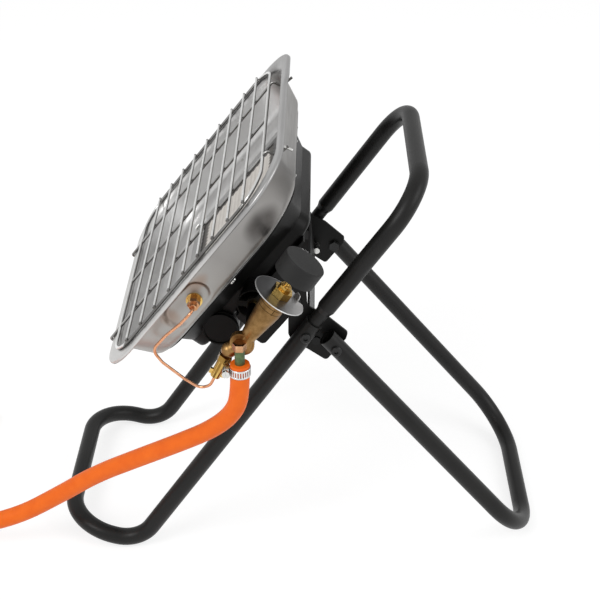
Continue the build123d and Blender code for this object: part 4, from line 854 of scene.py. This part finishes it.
# ---------------------------------------------------------------- hose clamp
def clamp_band():
    """The slotted band round the hose: an open grid without its slots, thickened inward."""
    levels = [0.0, CLAMP_EDGE, SLOT_MARGIN, CLAMP_W - SLOT_MARGIN, CLAMP_W - CLAMP_EDGE, CLAMP_W]
    slot_row = levels.index(SLOT_MARGIN)
    columns = CLAMP_SLOTS * SLOT_COLUMNS
    vertices = []
    for level in levels:
        radius = CLAMP_R + CLAMP_OUT - (CLAMP_BEVEL if level in (0.0, CLAMP_W) else 0.0)
        for i in range(columns):
            angle = 2 * math.pi * i / columns
            vertices.append((HOSE_TOP[0] + radius * math.cos(angle), HOSE_TOP[1] + radius * math.sin(angle),
                             CLAMP_LOW + level))
    faces = []
    for row in range(len(levels) - 1):
        for i in range(columns):
            if row == slot_row and i % SLOT_COLUMNS in (1, 2):
                continue
            k = (i + 1) % columns
            low = row * columns
            faces.append((low + i, low + k, low + columns + k, low + columns + i))
    obj = mesh_object("clamp_band", vertices, faces, "bright_band", "heater")
    solid = obj.modifiers.new("sheet", "SOLIDIFY")
    solid.thickness = CLAMP_SHEET * MM
    solid.offset = -1.0
    sharpen(obj, 40.0)
    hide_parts("hose_clamp")


def clamp_housing():
    """The pressed housing over the clamp's worm: an arch on two feet, closed at its ends."""
    worm_y = HOSE_TOP[1] - WORM_OUT
    worm_z = CLAMP_LOW + CLAMP_W / 2
    foot_y = HOSE_TOP[1] - CLAMP_R - WORM_FOOT
    half = CLAMP_W / 2 - WORM_HOUSING_IN
    outline = [(foot_y, worm_z - half), (worm_y + WORM_SHOULDER, worm_z - half)]
    for i in range(ARCH_STEPS + 1):
        angle = math.radians(-90 - 180 * i / ARCH_STEPS)
        outline.append((worm_y + WORM_HOUSING_R * math.cos(angle), worm_z + half * math.sin(angle)))
    outline += [(worm_y + WORM_SHOULDER, worm_z + half), (foot_y, worm_z + half)]
    stations = [(end - WORM_HALF, inset) for end, inset in WORM_ENDS]
    stations += [(WORM_HALF - end, inset) for end, inset in reversed(WORM_ENDS)]
    rings = []
    for x, inset in stations:
        share = 1.0 - inset / WORM_HOUSING_R
        rings.append([(HOSE_TOP[0] + x, worm_y + (y - worm_y) * share, worm_z + (z - worm_z) * share)
                      for y, z in outline])
    vertices, faces = capped_rings(rings)
    obj = mesh_object("clamp_housing", vertices, faces, "bright_band", "heater")
    sharpen(obj, 40.0)


# ---------------------------------------------------------------- hose and the guard's hook
def round_curve(name, points, radius, round_steps, along_steps, material):
    """A round rod of a radius in millimetres, along points of the row frame."""
    curve = bpy.data.curves.new(name, "CURVE")
    curve.dimensions = "3D"
    curve.bevel_depth = radius * MM
    curve.bevel_resolution = round_steps
    curve.resolution_u = along_steps
    curve.use_fill_caps = True
    spline = curve.splines.new("NURBS")
    spline.points.add(len(points) - 1)
    for knot, point in zip(spline.points, points):
        knot.co = (*point, 1.0)
    spline.order_u = 3
    spline.use_endpoint_u = True
    curve.materials.append(MATERIALS[material])
    obj = bpy.data.objects.new(name, curve)
    bpy.context.scene.collection.objects.link(obj)
    return obj


def guard_hook():
    """The end of the hooked long wire on the valve side, behind the dish's flange."""
    points = [HEAD @ Vector((HOOK_X, u, n)) for u, n in HOOK_TAIL]
    obj = round_curve("hook_end", points, HOOK_R, 6, 8, "zinc")
    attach(obj, "heater")


def hose_points():
    """The route's points, with the coil turn by turn, clockwise from its +X side."""
    points = [HOSE_TOP] + HOSE_ROUTE
    count = int(COIL_STEPS * COIL_TURNS)
    for i in range(1, count + 1):
        degrees = 360.0 * COIL_TURNS * i / count
        share = min(max((degrees - COIL_HOLD) / (COIL_DOWN - COIL_HOLD), 0.0), 1.0)
        angle = math.radians(degrees)
        x = COIL_CENTRE[0] + COIL_R * math.cos(angle)
        y = COIL_CENTRE[1] - COIL_R * math.sin(angle)
        points.append((x, y, COIL_LIFT + (COIL_REST - COIL_LIFT) * share))
    return points + END_ROUTE


def hose():
    """The whole gas hose as one cord, from the valve's tail to its end fitting."""
    points = [to_row(point) for point in hose_points()]
    obj = round_curve("orange_gas_hose", points, HOSE_R, 10, 16, "orange_hose")
    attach(obj, "heater")
    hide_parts("gas_hose", "hose_coil", "hose_end_run")


# ---------------------------------------------------------------- camera, lights and floor
def camera():
    """The photograph's camera, on the valve side and above."""
    elevation = math.radians(CAMERA_ELEVATION)
    heading = math.radians(CAMERA_HEADING)
    roll = math.radians(CAMERA_ROLL)
    forward = Vector((-math.cos(elevation) * math.cos(heading), math.cos(elevation) * math.sin(heading),
                      -math.sin(elevation)))
    right = forward.cross(Vector((0, 0, 1))).normalized()
    up = right.cross(forward)
    right_rolled = right * math.cos(roll) + up * math.sin(roll)
    up_rolled = -right * math.sin(roll) + up * math.cos(roll)
    data = bpy.data.cameras.new("camera")
    data.lens = CAMERA_LENS
    data.sensor_width = CAMERA_SENSOR
    obj = bpy.data.objects.new("camera", data)
    turn = Matrix((right_rolled, up_rolled, -forward)).transposed().to_4x4()
    obj.matrix_world = Matrix.Translation(CAMERA_PLACE) @ turn
    bpy.context.scene.collection.objects.link(obj)
    bpy.context.scene.camera = obj


def seen_white(tree):
    """1 for camera, glossy and transmission rays, which see the white background."""
    path = tree.nodes.new("ShaderNodeLightPath")
    seen = math_node(tree, "MAXIMUM", path.outputs["Is Camera Ray"], path.outputs["Is Glossy Ray"])
    return math_node(tree, "MAXIMUM", seen, path.outputs["Is Transmission Ray"])


def floor():
    """A pale floor: seen near white with the object's shadow, and plain to other rays."""
    size = FLOOR_HALF
    mesh = bpy.data.meshes.new("floor")
    corners = [(-size, -size, 0), (size, -size, 0), (size, size, 0), (-size, size, 0)]
    mesh.from_pydata(corners, [], [(0, 1, 2, 3)])
    material, tree, shader = new_material("floor")
    shader.inputs["Base Color"].default_value = (0.85, 0.85, 0.85, 1.0)
    shader.inputs["Roughness"].default_value = 0.9
    glow = tree.nodes.new("ShaderNodeEmission")
    glow.inputs["Strength"].default_value = FLOOR_GLOW
    soft = tree.nodes.new("ShaderNodeBsdfDiffuse")
    soft.inputs["Color"].default_value = FLOOR_SOFT
    both = tree.nodes.new("ShaderNodeAddShader")
    pick = tree.nodes.new("ShaderNodeMixShader")
    tree.links.new(glow.outputs[0], both.inputs[0])
    tree.links.new(soft.outputs[0], both.inputs[1])
    tree.links.new(seen_white(tree), pick.inputs[0])
    tree.links.new(shader.outputs[0], pick.inputs[1])
    tree.links.new(both.outputs[0], pick.inputs[2])
    tree.links.new(pick.outputs[0], tree.nodes["Material Output"].inputs["Surface"])
    mesh.materials.append(material)
    obj = bpy.data.objects.new("floor", mesh)
    bpy.context.scene.collection.objects.link(obj)


def world():
    """An even soft light, seen as plain white."""
    surroundings = bpy.data.worlds.new("studio")
    surroundings.use_nodes = True
    tree = surroundings.node_tree
    dim = tree.nodes["Background"]
    dim.inputs["Color"].default_value = (1.0, 1.0, 1.0, 1.0)
    dim.inputs["Strength"].default_value = WORLD_LEVEL
    white = tree.nodes.new("ShaderNodeBackground")
    white.inputs["Strength"].default_value = 1.0
    pick = tree.nodes.new("ShaderNodeMixShader")
    tree.links.new(seen_white(tree), pick.inputs[0])
    tree.links.new(dim.outputs[0], pick.inputs[1])
    tree.links.new(white.outputs[0], pick.inputs[2])
    tree.links.new(pick.outputs[0], tree.nodes["World Output"].inputs["Surface"])
    bpy.context.scene.world = surroundings


def lamp(name, place, size, power):
    """A square soft lamp that looks at the heater."""
    data = bpy.data.lights.new(name, "AREA")
    data.size = size
    data.energy = power
    obj = bpy.data.objects.new(name, data)
    obj.location = place
    obj.rotation_mode = "QUATERNION"
    obj.rotation_quaternion = (Vector(LAMP_TARGET) - Vector(place)).to_track_quat("-Z", "Y")
    bpy.context.scene.collection.objects.link(obj)


def studio():
    """Camera, floor, soft light and plain colour."""
    camera()
    floor()
    world()
    lamp("key", KEY_PLACE, KEY_SIZE, KEY_POWER)
    lamp("fill", FILL_PLACE, FILL_SIZE, FILL_POWER)
    bpy.context.scene.view_settings.view_transform = "Standard"


dress_cad_nodes()
hose()
dish()
flame_shield()
clamp_band()
clamp_housing()
guard_hook()
studio()
